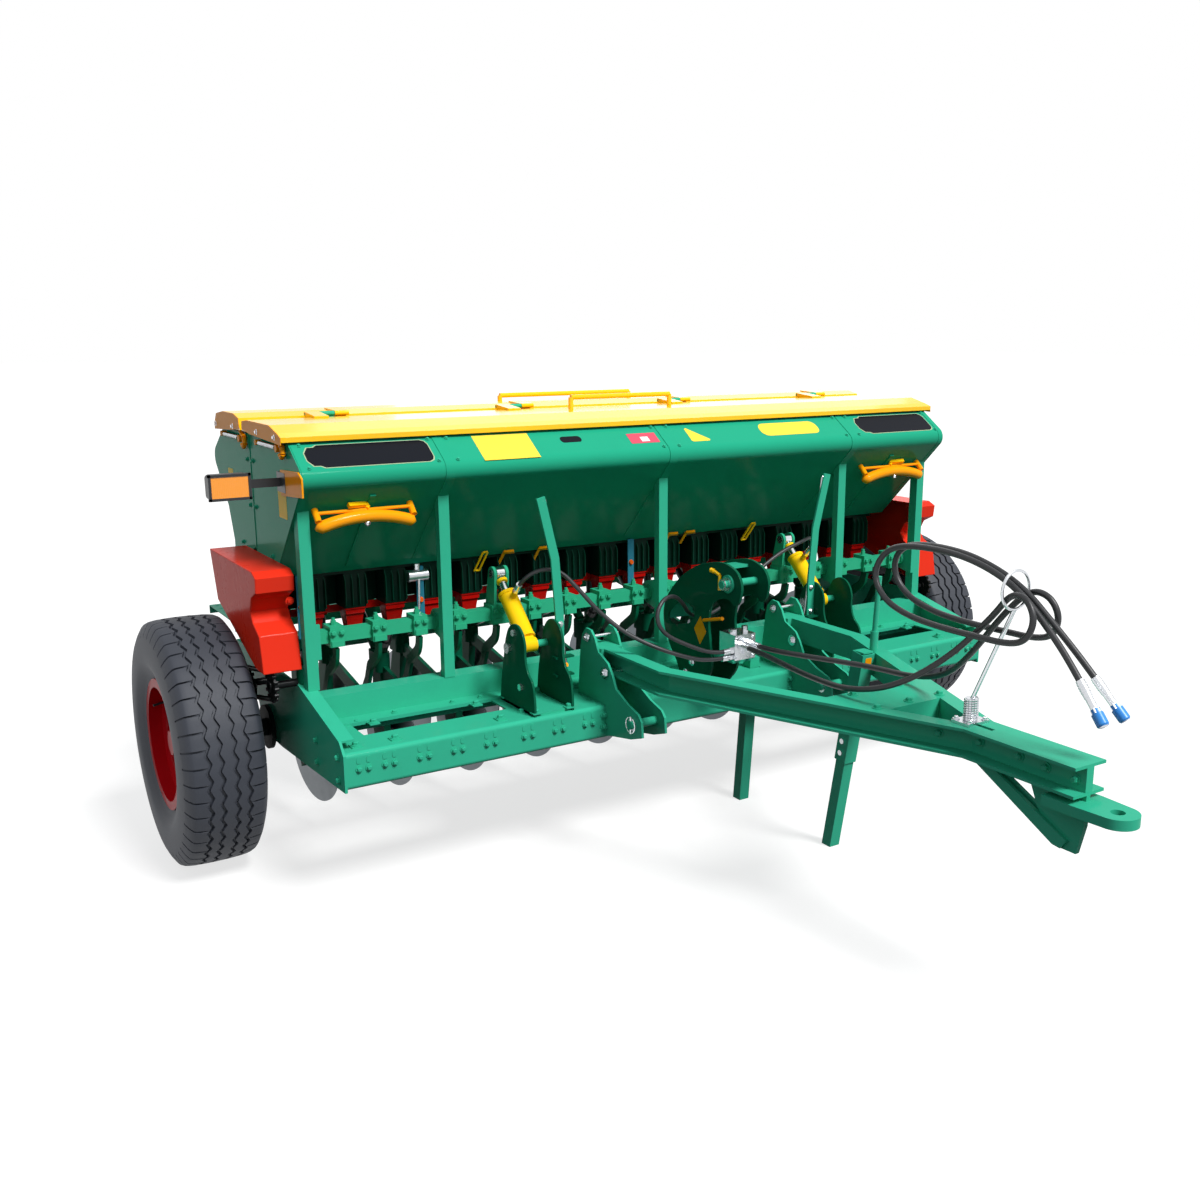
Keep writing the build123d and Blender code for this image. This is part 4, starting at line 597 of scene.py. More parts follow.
bulge = bend_points((-371, 1385), (-508, 1291), (-157, 940), 40)
strip_line = [(-374, 1383)] + bulge + [(-180, 963)]
bm = bmesh.new()
for x in (-840, 0, 840):
    band(bm, strip_line, x - 16, x + 16, 2.2)
for x in (-1080, 1080):
    band(bm, [(-440, 1223), (-180, 963)], x - 9, x + 9, 5)
for x in (-1298, 1298):
    band(bm, strip_line, x - 10, x + 10, 1.6)
for side in (-1, 1):
    strip = rectangle(24, 1010, 36, 1380)
    outline_plate(bm, strip, lambda y, z, t: mm(side * (HOPPER_END + t), y, z), 2)
green_piece("hopper_joint_strips", bm, hopper_green)
bm = bmesh.new()
for x in (-872, -808, -32, 32, 808, 872, -1282, 1282):
    for down in (16, 120):
        bolt(bm, on_panel(x, down, 0), PANEL_OUT, 0.0048)
for side in (-1, 1):
    for y, z in ((-150, 1010), (0, 1300), (0, 1150), (60, 1300), (60, 1150), (180, 1010)):
        bolt(bm, mm(side * HOPPER_END, y, z), RIGHT * side, 0.0055)
green_piece("hopper_bolts", bm)

plate_black = paint("black_printed_aluminium", "#15181F", 0.3, 0.15, wear=0, peel=0)
plate_yellow = paint("yellow_vinyl_film", "#F6D84A", 0.35, 0.1, wear=0.04, peel=0.02)
plate_red, plate_edge, plate_white = (
    paint(f"{name}_vinyl_film", base, 0.35, 0.1, wear=0, peel=0)
    for name, base in (("red", "#DE5468"), ("pale_green", "#A9BB96"), ("white", "#F2F2EE"))
)


def panel_plate(name, corners, material, thickness=0.8):
    """A thin blank plate on the upper panel."""
    bm = bmesh.new()
    outline_plate(bm, corners, on_panel, thickness)
    finished(name, bm, material)


def cut_oval(u0, v0, u1, v1):
    """A long plate whose ends step in to a point, as a name plate's do."""
    mid, step = (v0 + v1) / 2, (v1 - v0) * 0.17
    return [
        (u0, mid - step), (u0 + 14, v0 + 10), (u0 + 34, v0 + 9), (u0 + 46, v0), (u1 - 20, v0),
        (u1 - 6, v0 + 8), (u1, v0 + 22), (u1, v1 - 22), (u1 - 6, v1 - 8), (u1 - 20, v1),
        (u0 + 46, v1), (u0 + 34, v1 - 9), (u0 + 14, v1 - 10), (u0, mid + step),
    ]


for name, u0, u1 in (("left", -1276, -882), ("right", 900, 1274)):
    panel_plate(f"name_plate_{name}_edge", cut_oval(u0 - 3, 15, u1 + 3, 123), plate_edge, 0.5)
    panel_plate(f"name_plate_{name}", cut_oval(u0, 18, u1, 120), plate_black, 1.1)
panel_plate("seed_chart_plate", rectangle(-720, 12, -520, 134), plate_yellow)
panel_plate("row_plate", rounded(-412, 40, -332, 70, 13), plate_black)
panel_plate("red_warning_plate", rounded(-150, 44, -34, 96, 3), plate_red)
panel_plate("red_warning_plate_field", rounded(-104, 64, -72, 88, 2), plate_white, 1.2)
corners = [(100, 34), (108, 30), (178, 96), (174, 104), (104, 104), (98, 98)]
panel_plate("triangle_plate", corners, plate_yellow)
panel_plate("yellow_oval_plate", rounded(424, 28, 700, 98, 30), plate_yellow)
bm = bmesh.new()
for y0, z0, y1, z1 in ((-330, 1150, -250, 1240), (250, 1180, 310, 1250)):
    outline_plate(bm, rounded(y0, z0, y1, z1, 4), lambda y, z, t: mm(-HOPPER_END - t, y, z), 0.6)
finished("end_plates_film", bm, plate_yellow)


# ------------ lids
# Two yellow sheet lids hinged on one rail, each with a round tube handle, folded ends
# and spring latches at both ends.
yellow = paint("yellow_lid_enamel", "#FFC60C", 0.22, 0.65, "#B98A10", 0.06)
orange = paint("orange_yellow_enamel", "#FFA20C", 0.28, 0.175, "#8A4A08", 0.06)
dress(yellow, "front_lid", "rear_lid")
for name, places, cap in (
    ("front_lid", ((-330, 1400), (-150, 1404)), (
        (-387, 1380), (-387, 1403), (-354, 1413.5), (-278, 1432.5), (-40, 1432.5),
        (13, 1426.5), (19, 1402), (-60, 1392),
    )),
    ("rear_lid", ((330, 1400), (120, 1404)), (
        (43, 1402), (53, 1433), (110, 1445.5), (240, 1445.5), (321, 1434.5), (349, 1402),
        (349, 1380), (120, 1392),
    )),
):
    bm = bmesh.new()
    for side in (-1, 1):
        for y, z in places:
            bolt(bm, mm(side * 1335, y, z), RIGHT * side, 0.006)
    zinc_piece(f"{name}_bolts", bm, name)
    bm = bmesh.new()
    for side in (-1, 1):
        outline_plate(bm, cap, lambda y, z, t: mm(side * (1334.8 + t), y, z), 1.6)
    finished(f"{name}_end_caps", bm, orange, name)
bm, springs = bmesh.new(), bmesh.new()
for side in (-1, 1):
    x = side * 1322
    for y in (-318, 84):
        hook = (0, 1400), (-10, 1384), (-34, 1372), (-40, 1352), (-26, 1340), (-12, 1348)
        for (ya, za), (yb, zb) in zip(hook, hook[1:]):
            rod(bm, mm(x, y + ya, za), mm(x, y + yb, zb), 0.0075, 14)
        pin(bm, side * HOPPER_END, side * 1331, y + 4, 1366, 0.012, 18)
        pin(bm, side * HOPPER_END, side * 1331, y + 214, 1368, 0.009, 18)
        rod(springs, mm(x, y + 4, 1366), mm(x, y + 214, 1368), 0.003, 10)
        for turn in range(26):
            ring_y = y + 30 + turn * 6.4
            rod(springs, mm(x, ring_y, 1366), mm(x, ring_y + 3.4, 1367), 0.0085, 16)
finished("lid_latch_hooks", bm, orange)
zinc_piece("latch_springs", springs)


# ------------ lamp and grip bars
# An amber position lamp stands off the left end on an orange bracket. Two thick bent grip
# bars are bolted under the bulge at both ends, each over a thin back rod.
amber = moulded(
    "amber_lens_acrylic", "TexWave", 60, 0.3,
    Base_Color=srgb("#FF9A08"), Roughness=0.22, Coat_Weight=0.8,
)
black_plastic = rubber("black_moulded_plastic", "#17191C", 0.4, 1.2, 0.1)
dress(black_plastic, "lamp")
bm = bmesh.new()
outline_plate(bm, rounded(-1536, 1230, -1424, 1296, 6), lambda x, z, t: mm(x, -338 - t, z), 9)
finished("lamp_lens", bm, amber)
bm = bmesh.new()
for corners in (
    rectangle(-1542, 1224, -1534, 1302), rectangle(-1426, 1224, -1418, 1302),
    rectangle(-1542, 1294, -1418, 1302), rectangle(-1542, 1224, -1418, 1232),
):
    outline_plate(bm, corners, lambda x, z, t: mm(x, -338 - t, z), 11)
finished("lamp_frame", bm, black_plastic)
bm = bmesh.new()
outline_plate(
    bm, [(-500, 1236), (-500, 1292), (-470, 1308), (-353, 1303), (-300, 1300), (-300, 1222)],
    lambda y, z, t: mm(-HOPPER_END - t, y, z), 5.0,
)
finished("lamp_bracket", bm, orange)


def tube_along(bm, points, radii, segments):
    """A capped tube through points, with a radius in mm at each."""
    rings = []
    for i, point in enumerate(points):
        before, after = points[max(i - 1, 0)], points[min(i + 1, len(points) - 1)]
        along = (after - before).normalized()
        across = along.cross(UP).normalized()
        over = across.cross(along).normalized()
        rings.append([
            bm.verts.new(point + (across * cos(a) + over * sin(a)) * radii[i] / 1000)
            for a in (2 * pi * s / segments for s in range(segments))
        ])
    for a, b in zip(rings, rings[1:]):
        for i in range(segments):
            bm.faces.new((a[i], a[(i + 1) % segments], b[(i + 1) % segments], b[i]))
    bm.faces.new(list(reversed(rings[0])))
    bm.faces.new(rings[-1])


for name, side in SIDES:
    bm = bmesh.new()
    points, radii = [], []
    for step in range(25):
        t = step / 24
        x = side * (940 + 320 * t)
        dip = 30 * (2 * t - 1) ** 2
        points.append(mm(x, -433 + dip * 0.2, 1158 - dip))
        end = min(t, 1 - t) * 320
        radii.append(19 * sqrt(max(0.05, 1 - max(0, 1 - end / 15) ** 2)))
    tube_along(bm, points, radii, 24)
    bar = finished(f"grip_bar_{name}", bm, orange, sharp=50)
    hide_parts("grip_bars")
    bm = bmesh.new()
    pin(bm, side * 948, side * 1252, -419, 1176, 0.0055, 14)
    for x in (948, 1252):
        rod(bm, mm(side * x, -402, 1186), mm(side * x, -436, 1152), 0.01, 16)
    finished(f"grip_rod_{name}", bm, orange)
    bm = bmesh.new()
    rod(bm, mm(side * 1090, -415, 1192), mm(side * 1155, -428, 1194), 0.0095, 4)
    rod(bm, mm(side * 1092, -408, 1170), mm(side * 1092, -424, 1188), 0.008, 4)
    finished(f"grip_block_{name}", bm, yellow)
    bm = bmesh.new()
    bolt(bm, mm(side * 1100, -436, 1138), Vector((0, -0.5, -0.87)), 0.007)
    zinc_piece(f"grip_bolt_{name}", bm)


# ------------ drive guards and walkway
# Two hollow guards of bright red plastic stand beside the hopper, over the chains that
# drive the metering shafts from the wheels. A folded walkway hangs behind.
guard_red = paint("bright_red_moulded_plastic", "#E2311C", 0.26, 0.1, "#7A0E08", 0.06)
dress(guard_red, "drive_guards")
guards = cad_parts["drive_guards"]
joined = guards.modifiers.new("joined_corners", "WELD")
joined.merge_threshold = 0.00005
soft_edges = guards.modifiers.new("soft_edges", "BEVEL")
soft_edges.width = 0.006
soft_edges.segments = 3
soft_edges.limit_method = "ANGLE"
soft_edges.angle_limit = radians(28)
dress(green, "walkway")
bm = bmesh.new()
for side in (-1, 1):
    for y, z in ((-290, 980), (-290, 720), (40, 960), (-120, 770)):
        bolt(bm, mm(side * 1330, y - 4, z), RIGHT * -side, 0.007, False)
    for y, z in ((-334, 975), (-340, 725), (-326, 900)):
        bolt(bm, mm(side * 1322, y, z), FRONT, 0.009)
finished("guard_bolts", bm, guard_red)
chain_black = paint("greasy_black_steel", "#1B1D1E", 0.35, 0.075, "#3A2E22", 0.5, 0.4)
bm = bmesh.new()
for side in (-1, 1):
    for hub_y, hub_z, r, teeth in ((0, AXLE_Z, 76, 24), (-70, 585, 52, 16), (-330, 640, 44, 14)):
        pin(bm, side * 1392, side * 1398, hub_y, hub_z, r / 1000, 48)
        pin(bm, side * 1384, side * 1406, hub_y, hub_z, r * 0.0005, 24)
        for tooth in range(teeth):
            a = 2 * pi * tooth / teeth
            y, z = hub_y + (r + 3) * cos(a), hub_z + (r + 3) * sin(a)
            pin(bm, side * 1389, side * 1401, y, z, 0.0062, 10)
    for ya, za, yb, zb in (
        (-76, 412, -121, 590), (74, 420, -20, 600), (-108, 550, -340, 598), (-60, 636, -322, 684)
    ):
        links = int(hypot(yb - ya, zb - za) / 15)
        for link in range(links + 1):
            y, z = ya + (yb - ya) * link / links, za + (zb - za) * link / links
            pin(bm, side * 1388, side * 1402, y, z, 0.0068, 10)
        for x in (1389, 1401):
            rod(bm, mm(side * x, ya, za), mm(side * x, yb, zb), 0.0052, 8)
    pin(bm, side * 1316, side * 1406, -70, 585, 0.012)
    pin(bm, side * 1316, side * 1406, -330, 640, 0.012)
finished("ground_drive_chains", bm, chain_black)
bm = bmesh.new()
for row in range(6):
    for column in range(52):
        x, y = -1275 + column * 50, 455 + row * 62
        rod(bm, mm(x, y, 674), mm(x, y, 675.6), 0.011, 10, 0.007)
green_piece("walkway_studs", bm)
dress(orange, "grip_bars")


# ------------ metering units
# Each row has a finned dark housing over a tapered red outlet box, and telescopic
# tubes lead from the boxes to the openers. Small levers and slides stand between them.
housing_dark = paint("dark_green_cast_housing", "#0E2C22", 0.45, 0.075, wear=0.2)
fin_green = paint("green_cast_enamel", "#2FA77E", 0.35, 0.1)
fin_dark = paint("dark_green_fin_enamel", "#0F4736", 0.35, 0.1)
box_red = paint("red_outlet_plastic", "#C2120D", 0.3, 0.15, "#5E0906", 0.1)
teal = paint("teal_moulded_plastic", "#2C7C94", 0.35, 0.1)
cup_orange = paint("orange_moulded_plastic", "#F2641A", 0.35, 0.1)
dress(housing_dark, "metering_units")
dress(box_red, "outlet_boxes")
ROWS = [(row - 8.5) * 140 for row in range(18)]
METER_Y = (-108.5, 220)
fins, rims, collars, sheets = (bmesh.new() for _ in range(4))
for meter_y, front in zip(METER_Y, (-1, 1)):
    edge, face = meter_y + front * 42, meter_y + front * 33
    fin = [(edge, 818), (edge + front * 12, 824), (edge + front * 12, 905), (edge, 926)]
    for row_x in ROWS:
        for offset in (-36, -12, 12, 36):
            outline_plate(fins, fin, lambda y, z, t: mm(row_x + offset + t, y, z), 2.4)
        outline_plate(
            rims, rounded(row_x - 33, 790, row_x + 33, 811, 4),
            lambda x, z, t: mm(x, face + front * (t + 0.2), z), 3.5,
        )
        pin(rims, row_x - 36, row_x + 36, face + front * 3, 808, 0.0045, 10)
        rod(collars, mm(row_x, meter_y, 735), mm(row_x, meter_y, 716), 0.0245, 24, 0.0235)
for sheet_y in (-65.1, 178):
    sheet = rectangle(-1300, 814, 1300, 929)
    outline_plate(sheets, sheet, lambda x, z, t: mm(x, sheet_y - t, z), 1.5)
green_piece("meter_fins", fins, fin_dark)
green_piece("meter_back_sheets", sheets, housing_dark)
finished("outlet_rims", rims, box_red)
finished("tube_collars", collars, cup_orange)
bm, knobs = bmesh.new(), bmesh.new()
for x, z0, z1, y in ((-1240, 735, 945, -170), (-828, 700, 932, -168), (20, 770, 945, -168)):
    outline_plate(bm, rounded(x - 13, z0, x + 13, z1, 4), lambda u, z, t: mm(u, y - t, z), 5)
    rod(knobs, mm(x, y - 5, (z0 + z1) / 2), mm(x, y - 13, (z0 + z1) / 2), 0.01, 18, 0.007)
finished("teal_slides", bm, teal)
finished("slide_knobs", knobs, cup_orange)
bm = bmesh.new()
for x in (-520, -380, 180, 260):
    rod(bm, mm(x, -150, 905), mm(x + 10, -176, 948), 0.006, 4)
    rod(bm, mm(x + 10, -176, 948), mm(x + 38, -196, 952), 0.007, 4)
finished("shutter_levers", bm, orange)
bm = bmesh.new()
for x, lean in ((-610, 20), (560, 26)):
    for shift in (-9, 9):
        rod(bm, mm(x + shift, -158, 890), mm(x + shift + lean, -190, 958), 0.0045, 4)
    pin(bm, x - 9, x + 9, -158, 890, 0.0045, 4)
    pin(bm, x - 9 + lean, x + 9 + lean, -190, 958, 0.0045, 4)
finished("gate_links", bm, yellow)
bm = bmesh.new()
pin(bm, -870, -800, -165, 900, 0.021, 24)
rod(bm, mm(-835, -165, 921), mm(-835, -165, 940), 0.012, 20)
rod(bm, mm(-835, -180, 890), mm(-848, -205, 790), 0.004, 10)
zinc_piece("seed_meter_adjuster", bm)


# ------------ lift shaft and openers
# A square shaft turns in plates on the posts. A clamp with two bolts at each row holds
# an S-shaped pressure arm over the opener's arm, and the discs run at a slight angle.
disc_steel = metal("rolled_disc_steel", "#6F7478", 0.34, 40, 0.08)
dress(fin_green, "lift_shaft")
# the pressure springs and opener arms under the beam take the painted shade copy of the green
dress(green_painted_shade, "pressure_springs", "opener_arms")
dress(disc_steel, "opener_discs")
bm = bmesh.new()
for row_x in ROWS:
    for shift in (-14, 14):
        bolt(bm, mm(row_x + shift, -363, 789), FRONT, 0.0085)
    rod(bm, mm(row_x, -330, 808), mm(row_x, -330, 822), 0.009, 6)
    rod(bm, mm(row_x, -330, 822), mm(row_x, -330, 830), 0.006, 12)
    clamp = rectangle(row_x - 20, 744, row_x + 20, 762)
    outline_plate(bm, clamp, lambda x, z, t: mm(x, -363 - t, z), 5)
green_piece("shaft_clamp_bolts", bm, fin_green, "lift_shaft")

tube_green = paint("dark_green_tube_plastic", "#0D5238", 0.35, 0.1)
tube_black = rubber("black_tube_plastic", "#141618", 0.35, 1.5, 0.08)
up_parts, low_parts, funnels = bmesh.new(), bmesh.new(), bmesh.new()
for rank, cup_y, cup_top in ((ROWS[0::2], 30, 604), (ROWS[1::2], 188, 622)):
    for row_x in rank:
        for meter_y, shift in zip(METER_Y, (-26, 26)):
            top, foot = mm(row_x, meter_y, 734), mm(row_x, cup_y + shift, cup_top)
            along = foot - top
            rod(up_parts, top, top + along * 0.62, 0.0155, 18)
            rod(funnels, top + along * 0.58, top + along * 0.72, 0.0195, 18, 0.0185)
            rod(low_parts, top + along * 0.6, foot, 0.0175, 18)
for name, bm, material in (
    ("tube_uppers", up_parts, tube_black), ("tube_cups", funnels, tube_black),
    ("tube_lowers", low_parts, tube_green),
):
    made = finished(name, bm, material, body=None)
    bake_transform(made)
    if name == "tube_uppers":
        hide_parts("drop_tubes")


# ------------ lift cylinders and towers
# Two yellow cylinders lean up from twin-plate towers on the front beam to the shaft's
# cranks. A flat hand lever with a steel rod beside it stands in front of each.
cylinder_yellow = paint("yellow_cylinder_enamel", "#FFCE12", 0.28, 0.175, "#8C6A0C", 0.08)
dress(cylinder_yellow, "cylinder_barrel_left", "cylinder_barrel_right")
dress(chrome, "cylinder_rod_left", "cylinder_rod_right")
dress(green, "hand_levers")


def cut_plate(name, outlines, x_mid, thickness, material):
    """A plate across X, cut along smooth closed outlines of (y, z) with corners on the beam."""
    curve = bpy.data.curves.new(name, "CURVE")
    curve.dimensions = "2D"
    curve.fill_mode = "BOTH"
    curve.resolution_u = 8
    curve.extrude = thickness / 2000 - 0.001
    curve.bevel_depth = 0.001
    curve.bevel_resolution = 2
    for outline in outlines:
        spline = curve.splines.new("BEZIER")
        spline.bezier_points.add(len(outline) - 1)
        spline.use_cyclic_u = True
        for knot, (y, z) in zip(spline.bezier_points, outline):
            knot.co = (y / 1000, z / 1000, 0)
            handle = "VECTOR" if z == BEAM_TOP else "AUTO"
            knot.handle_left_type = knot.handle_right_type = handle
    guide = linked(name, curve)
    mesh = curve_mesh(guide)
    bpy.data.objects.remove(guide)
    bm = bmesh.new()
    bm.from_mesh(mesh)
    bmesh.ops.remove_doubles(bm, verts=bm.verts, dist=0.00002)
    for vert in bm.verts:
        vert.co = Vector((x_mid / 1000 + vert.co.z, AXLE + vert.co.x, vert.co.y))
    return green_piece(name, bm, material)


BASE_PIN = (-560, 712)
TOWER = [
    (-724, 521), (-722, 578), (-710, 626), (-680, 656), (-664, 696), (-662, 748), (-640, 784),
    (-604, 797), (-566, 784), (-540, 748), (-520, 680), (-500, 600), (-488, 521),
]
for side in (-1, 1):
    for name, x_mid in (("inner", 552), ("outer", 688)):
        plate = cut_plate(f"tower_plate_{name}_{side + 1}", [TOWER], side * x_mid, 8, green_painted_shade)
        if side < 0 and name == "inner":
            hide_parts("cylinder_towers")
bm = bmesh.new()
for side in (-1, 1):
    pin(bm, side * 548, side * 692, *BASE_PIN, 0.012, 28)
    corners = rounded(side * 620 - 72, -716, side * 620 + 72, -488, 4)
    outline_plate(bm, corners, lambda x, y, t: mm(x, y, BEAM_TOP + 0.2 + t), 7.8)
green_piece("tower_pins_and_feet", bm)
AXIS = Vector((0, 0.719, 0.695))
for name, side in SIDES:
    x = side * 620
    base = mm(x, *BASE_PIN)
    bm = bmesh.new()
    on_line(
        bm, base, AXIS, (0.196, 0.207, 0.0325, 36), (0.207, 0.213, 0.024, 36, 0.0185),
        (0.024, 0.034, 0.0318, 36),
    )
    body = f"cylinder_{name}"
    finished(f"cylinder_collars_{name}", bm, cylinder_yellow, body)
    bm = bmesh.new()
    on_line(bm, base, AXIS, (0.252, 0.262, 0.019, 28))
    finished(f"rod_collar_{name}", bm, cylinder_yellow, f"rod_{name}")
    bm = bmesh.new()
    pin(bm, x - 29, x - 27.3, -350, 915, 0.015, 24)
    pin(bm, x + 27.3, x + 29, -350, 915, 0.015, 24)
    zinc_piece(f"crank_washers_{name}", bm, "lift_shaft")
    bm = bmesh.new()
    for end_x, way in ((548, -1), (692, 1)):
        pin(bm, side * end_x, side * (end_x + way * 12), *BASE_PIN, 0.0175, 28)
        for y, z in ((-600, 770), (-640, 600)):
            pin(bm, side * end_x, side * (end_x + way * 9), y, z, 0.012, 6)
    zinc_piece(f"tower_pins_{name}", bm)
    bm = bmesh.new()
    for foot_x in (side * 560, side * 680):
        for foot_y in (-712, -500):
            corners = rounded(foot_x - 16, foot_y - 14, foot_x + 16, foot_y + 14, 3)
            outline_plate(bm, corners, lambda u, v, t: mm(u, v, 529 + t), 4)
            bolt(bm, mm(foot_x, foot_y, 533), UP, 0.0105, False)
    green_piece(f"tower_feet_{name}", bm)
    bm = bmesh.new()
    rod(bm, mm(side * 505, -600, 640), mm(side * 575, -603, 1185), 0.0042, 14)
    rod(bm, mm(side * 505, -600, 640), mm(side * 520, -606, 636), 0.0055, 14)
    rod(bm, mm(side * 575, -603, 1185), mm(side * 588, -607, 1186), 0.0055, 14)
    finished(f"lever_rod_{name}", bm, steel)
    bm = bmesh.new()
    for z in (628, 690, 780):
        bolt(bm, mm(side * 532, -612, z), FRONT, 0.007)
    zinc_piece(f"lever_bolts_{name}", bm)
    bm = bmesh.new()
    for z in (612, 672):
        bracket = rectangle(side * 498, z, side * 566, z + 6)
        outline_plate(bm, bracket, lambda u, v, t: mm(u, -616 - t, v), 26)
    green_piece(f"lever_brackets_{name}", bm, green_painted_shade)
    bm = bmesh.new()
    rod(bm, mm(side * 532, -611.5, 636), mm(side * 532, -650, 652), 0.01, 16, 0.0075)
    finished(f"lever_plug_{name}", bm, orange)


# ------------ headstock and valve block
# Twin hook-shaped plates, joined by a folded web, carry the top link pin between washers.
# A bare valve block on a shelf in front of them feeds four hoses.
dress(zinc, "valve_block")
TOP_PIN = (-890, 908)
HOOK = [
    (-736, 521), (-797, 600), (-788, 690), (-779, 762), (-800, 826), (-842, 850), (-890, 856),
    (-926, 842), (-950, 872), (-948, 930), (-900, 964), (-780, 960), (-662, 914), (-572, 845),
    (-520, 775), (-514, 715), (-548, 640), (-600, 575), (-625, 521),
]
WINDOW = [
    (-538, 728), (-565, 770), (-617, 797), (-676, 797), (-700, 772), (-672, 735), (-625, 722),
    (-575, 708),
]
for name, x_mid in (("left", -55), ("right", 55)):
    hook = cut_plate(f"headstock_plate_{name}", [HOOK, WINDOW], x_mid, 10, green_painted_shade)
    if name == "left":
        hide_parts("headstock")
bm = bmesh.new()
back = [(-524, 722), (-530, 775), (-580, 840), (-664, 907), (-780, 952), (-850, 956)]
band(bm, back, -50, 50, -9)
outline_plate(bm, rectangle(-50, -905, 50, -795), lambda x, y, t: mm(x, y, 642.2 + t), 7.8)
pin(bm, -90, 90, *TOP_PIN, 0.0125, 28)
for side in (-1, 1):
    pin(bm, side * 60, side * 67, *TOP_PIN, 0.03, 36)
green_piece("headstock_web", bm)
bm = bmesh.new()
for side in (-1, 1):
    pin(bm, side * 67, side * 71, *TOP_PIN, 0.022, 32)
    pin(bm, side * 84, side * 88, *TOP_PIN, 0.0185, 28)
    for y, z in ((-652, 556), (-740, 556), (-690, 600)):
        bolt(bm, mm(side * 60, y, z), RIGHT * side, 0.009)
zinc_piece("top_link_washers", bm)
bm = bmesh.new()
rod(bm, mm(-64, -846, 880), mm(-64, -846, 930), 0.006, 14)
rod(bm, mm(-64, -846, 930), mm(-64, -816, 938), 0.006, 14)
rod(bm, mm(-66, -800, 940), mm(-64, -816, 938), 0.0085, 14)
finished("top_link_lock_pin", bm, yellow)
bm = bmesh.new()
diamond = [(-735, 770), (-700, 722), (-735, 672), (-770, 722)]
outline_plate(bm, diamond, lambda y, z, t: mm(-60 - t, y, z), 1.2)
rod(bm, mm(-70, -768, 764), mm(-70, -872, 790), 0.006, 12)
pin(bm, -60, -72, -768, 764, 0.005, 12)
finished("headstock_diamond_plate", bm, orange)
bm = bmesh.new()
for z, y in ((660, -888), (682, -893)):
    pin(bm, -42, -36, y, z, 0.014, 6)
for x in (-20, 20):
    rod(bm, mm(x, -905, 700), mm(x, -899, 700), 0.015, 6)
rod(bm, mm(0, -905, 676), mm(0, -915, 676), 0.012, 6)
rod(bm, mm(30, -862, 735), mm(30, -862, 752), 0.011, 6)
rod(bm, mm(-20, -862, 735), mm(-20, -862, 747), 0.014, 24)
for x, z in ((-34, 722), (34, 722), (-34, 658), (34, 658)):
    rod(bm, mm(x, -905, z), mm(x, -910, z), 0.005, 16)
zinc_piece("valve_fittings", bm)


# ------------ lower link brackets
# Twin plates on each side of the front beam hold a plain cross pin with a linch pin, and
# two bolts above it hold the drawbar's ends between them.
PIN_Y, PIN_Z, RING_R = -900, 500, 26
bm = bmesh.new()
for side in (-1, 1):
    pin(bm, side * 438.2, side * 441, PIN_Y, PIN_Z, 0.021, 28)
    pin(bm, side * 342.8, side * 340, PIN_Y, PIN_Z, 0.021, 28)
    rod(bm, mm(side * 445, PIN_Y, PIN_Z - 28), mm(side * 445, PIN_Y, PIN_Z + 28), 0.0035, 12)
    turns = [2 * pi * turn / 12 for turn in range(13)]
    ring = [mm(side * 446, PIN_Y + RING_R * sin(a), PIN_Z - RING_R * cos(a)) for a in turns]
    for start, end in zip(ring, ring[1:]):
        rod(bm, start, end, 0.0018, 8)
zinc_piece("link_pin_clips", bm)
bm = bmesh.new()
for side in (-1, 1):
    for y, z, r in ((-741, 632, 0.013), (-632, 728, 0.01)):
        pin(bm, side * 326, side * 456, y, z, r * 0.6)
        for x0, x1, head_r, segments in (
            (330, 338.6, r, 6), (442.6, 451, r, 6),
            (336.4, 338.8, r * 1.5, 28), (442.4, 444.8, r * 1.5, 28),
        ):
            pin(bm, side * x0, side * x1, y, z, head_r, segments)
zinc_piece("link_upper_bolts", bm)
BEAM_FACE = -736
bm = bmesh.new()
for side in (-1, 1):
    for x in (338, 443):
        for z in (450, 490):
            bolt(bm, mm(side * x, BEAM_FACE, z), FRONT, 0.0095)
    for x in (500, 610, 720, 850, 960, 1070, 1180, 1260):
        for shift in (-15, 15):
            bolt(bm, mm(side * x + shift, BEAM_FACE, 470), FRONT, 0.0075)
            corners = rounded(side * x + shift - 7, 486, side * x + shift + 7, 506, 6.5)
            outline_plate(bm, corners, lambda u, v, t: mm(u, BEAM_FACE - t, v), 1.6)
green_piece("beam_face_bolts", bm)


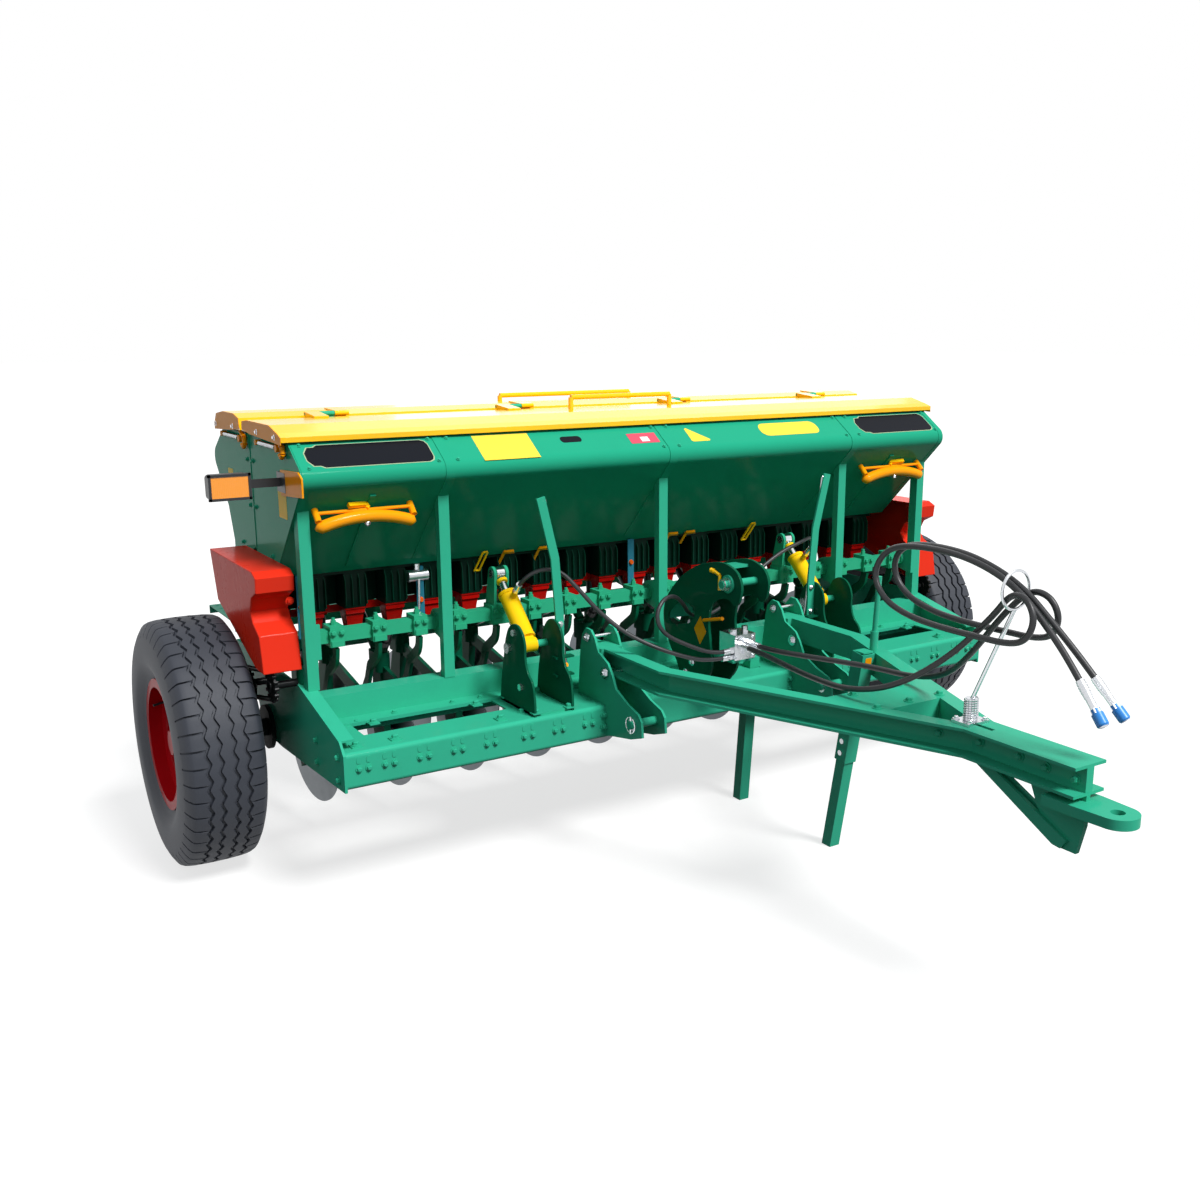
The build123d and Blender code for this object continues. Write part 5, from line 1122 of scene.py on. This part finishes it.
# ------------ drawbar, hitch and legs
# Two folded channels run to a point with a bolted eye plate. A slanted jack stands on
# the drawbar and a plain stand behind it, each with its pin.
bm = bmesh.new()
for side in (-1, 1):
    bolt(bm, mm(side * 47.9, -1815, 662), Vector((side, -0.407, 0)), 0.01)
    for y, z in ((-1930, 662), (-2060, 662), (-2143, 658), (-2231, 655)):
        bolt(bm, mm(side * 13, y, z), RIGHT * side, 0.01)
green_piece("drawbar_bolts", bm)
bm = bmesh.new()
for x, y in ((-120, -1655), (0, -1655), (120, -1655), (-90, -1525), (90, -1525)):
    bolt(bm, mm(x, y, 700), UP, 0.01)
green_piece("brace_bolts", bm)
bm = bmesh.new()
for z, r in ((352, 0.009), (394, 0.009), (560, 0.0105)):
    y = -1080 - z * tan(radians(10))
    for x0, x1 in ((217, 223), (273, 279)):
        pin(bm, x0, x1, y, z, r)
zinc_piece("jack_pins", bm)
bm = bmesh.new()
outline_plate(bm, rounded(226, -1227, 270, -1181, 5), lambda x, y, t: mm(x, y, 705 + t), 5)
rod(bm, mm(288, -1204, 640), mm(288, -1208, 770), 0.013, 20)
rod(bm, mm(288, -1208, 770), mm(291, -1216, 950), 0.0085, 16)
pin(bm, 272, 288, -1204, 660, 0.01, 16)
green_piece("jack_pole", bm)
bm = bmesh.new()
outline_plate(
    bm, rounded(236, 655, 262, 690, 4),
    lambda x, z, t: mm(x, -1227.2 + (690 - z) * 0.1763 - t, z), 1.2,
)
finished("jack_plate", bm, orange)


# ------------ hose stand and couplers
# A coil spring foot with a thin rod and a double ring holds the hoses' loop up.
dress(zinc, "hose_stand")
bm = bmesh.new()
COIL_R, COIL_STEPS, COIL_RISE = 17.2, 16 * 9, 58
coil = []
for step in range(COIL_STEPS + 1):
    a = 2 * pi * step / 16
    rise = step * COIL_RISE / COIL_STEPS
    coil.append(mm(COIL_R * cos(a), -1880 + COIL_R * sin(a), 709 + rise))
for start, end in zip(coil, coil[1:]):
    rod(bm, start, end, 0.0031, 8)
for x, y in ((-28, -1904), (28, -1904), (-28, -1856), (28, -1856)):
    bolt(bm, mm(x, y, 708), UP, 0.0065)
zinc_piece("stand_spring", bm)
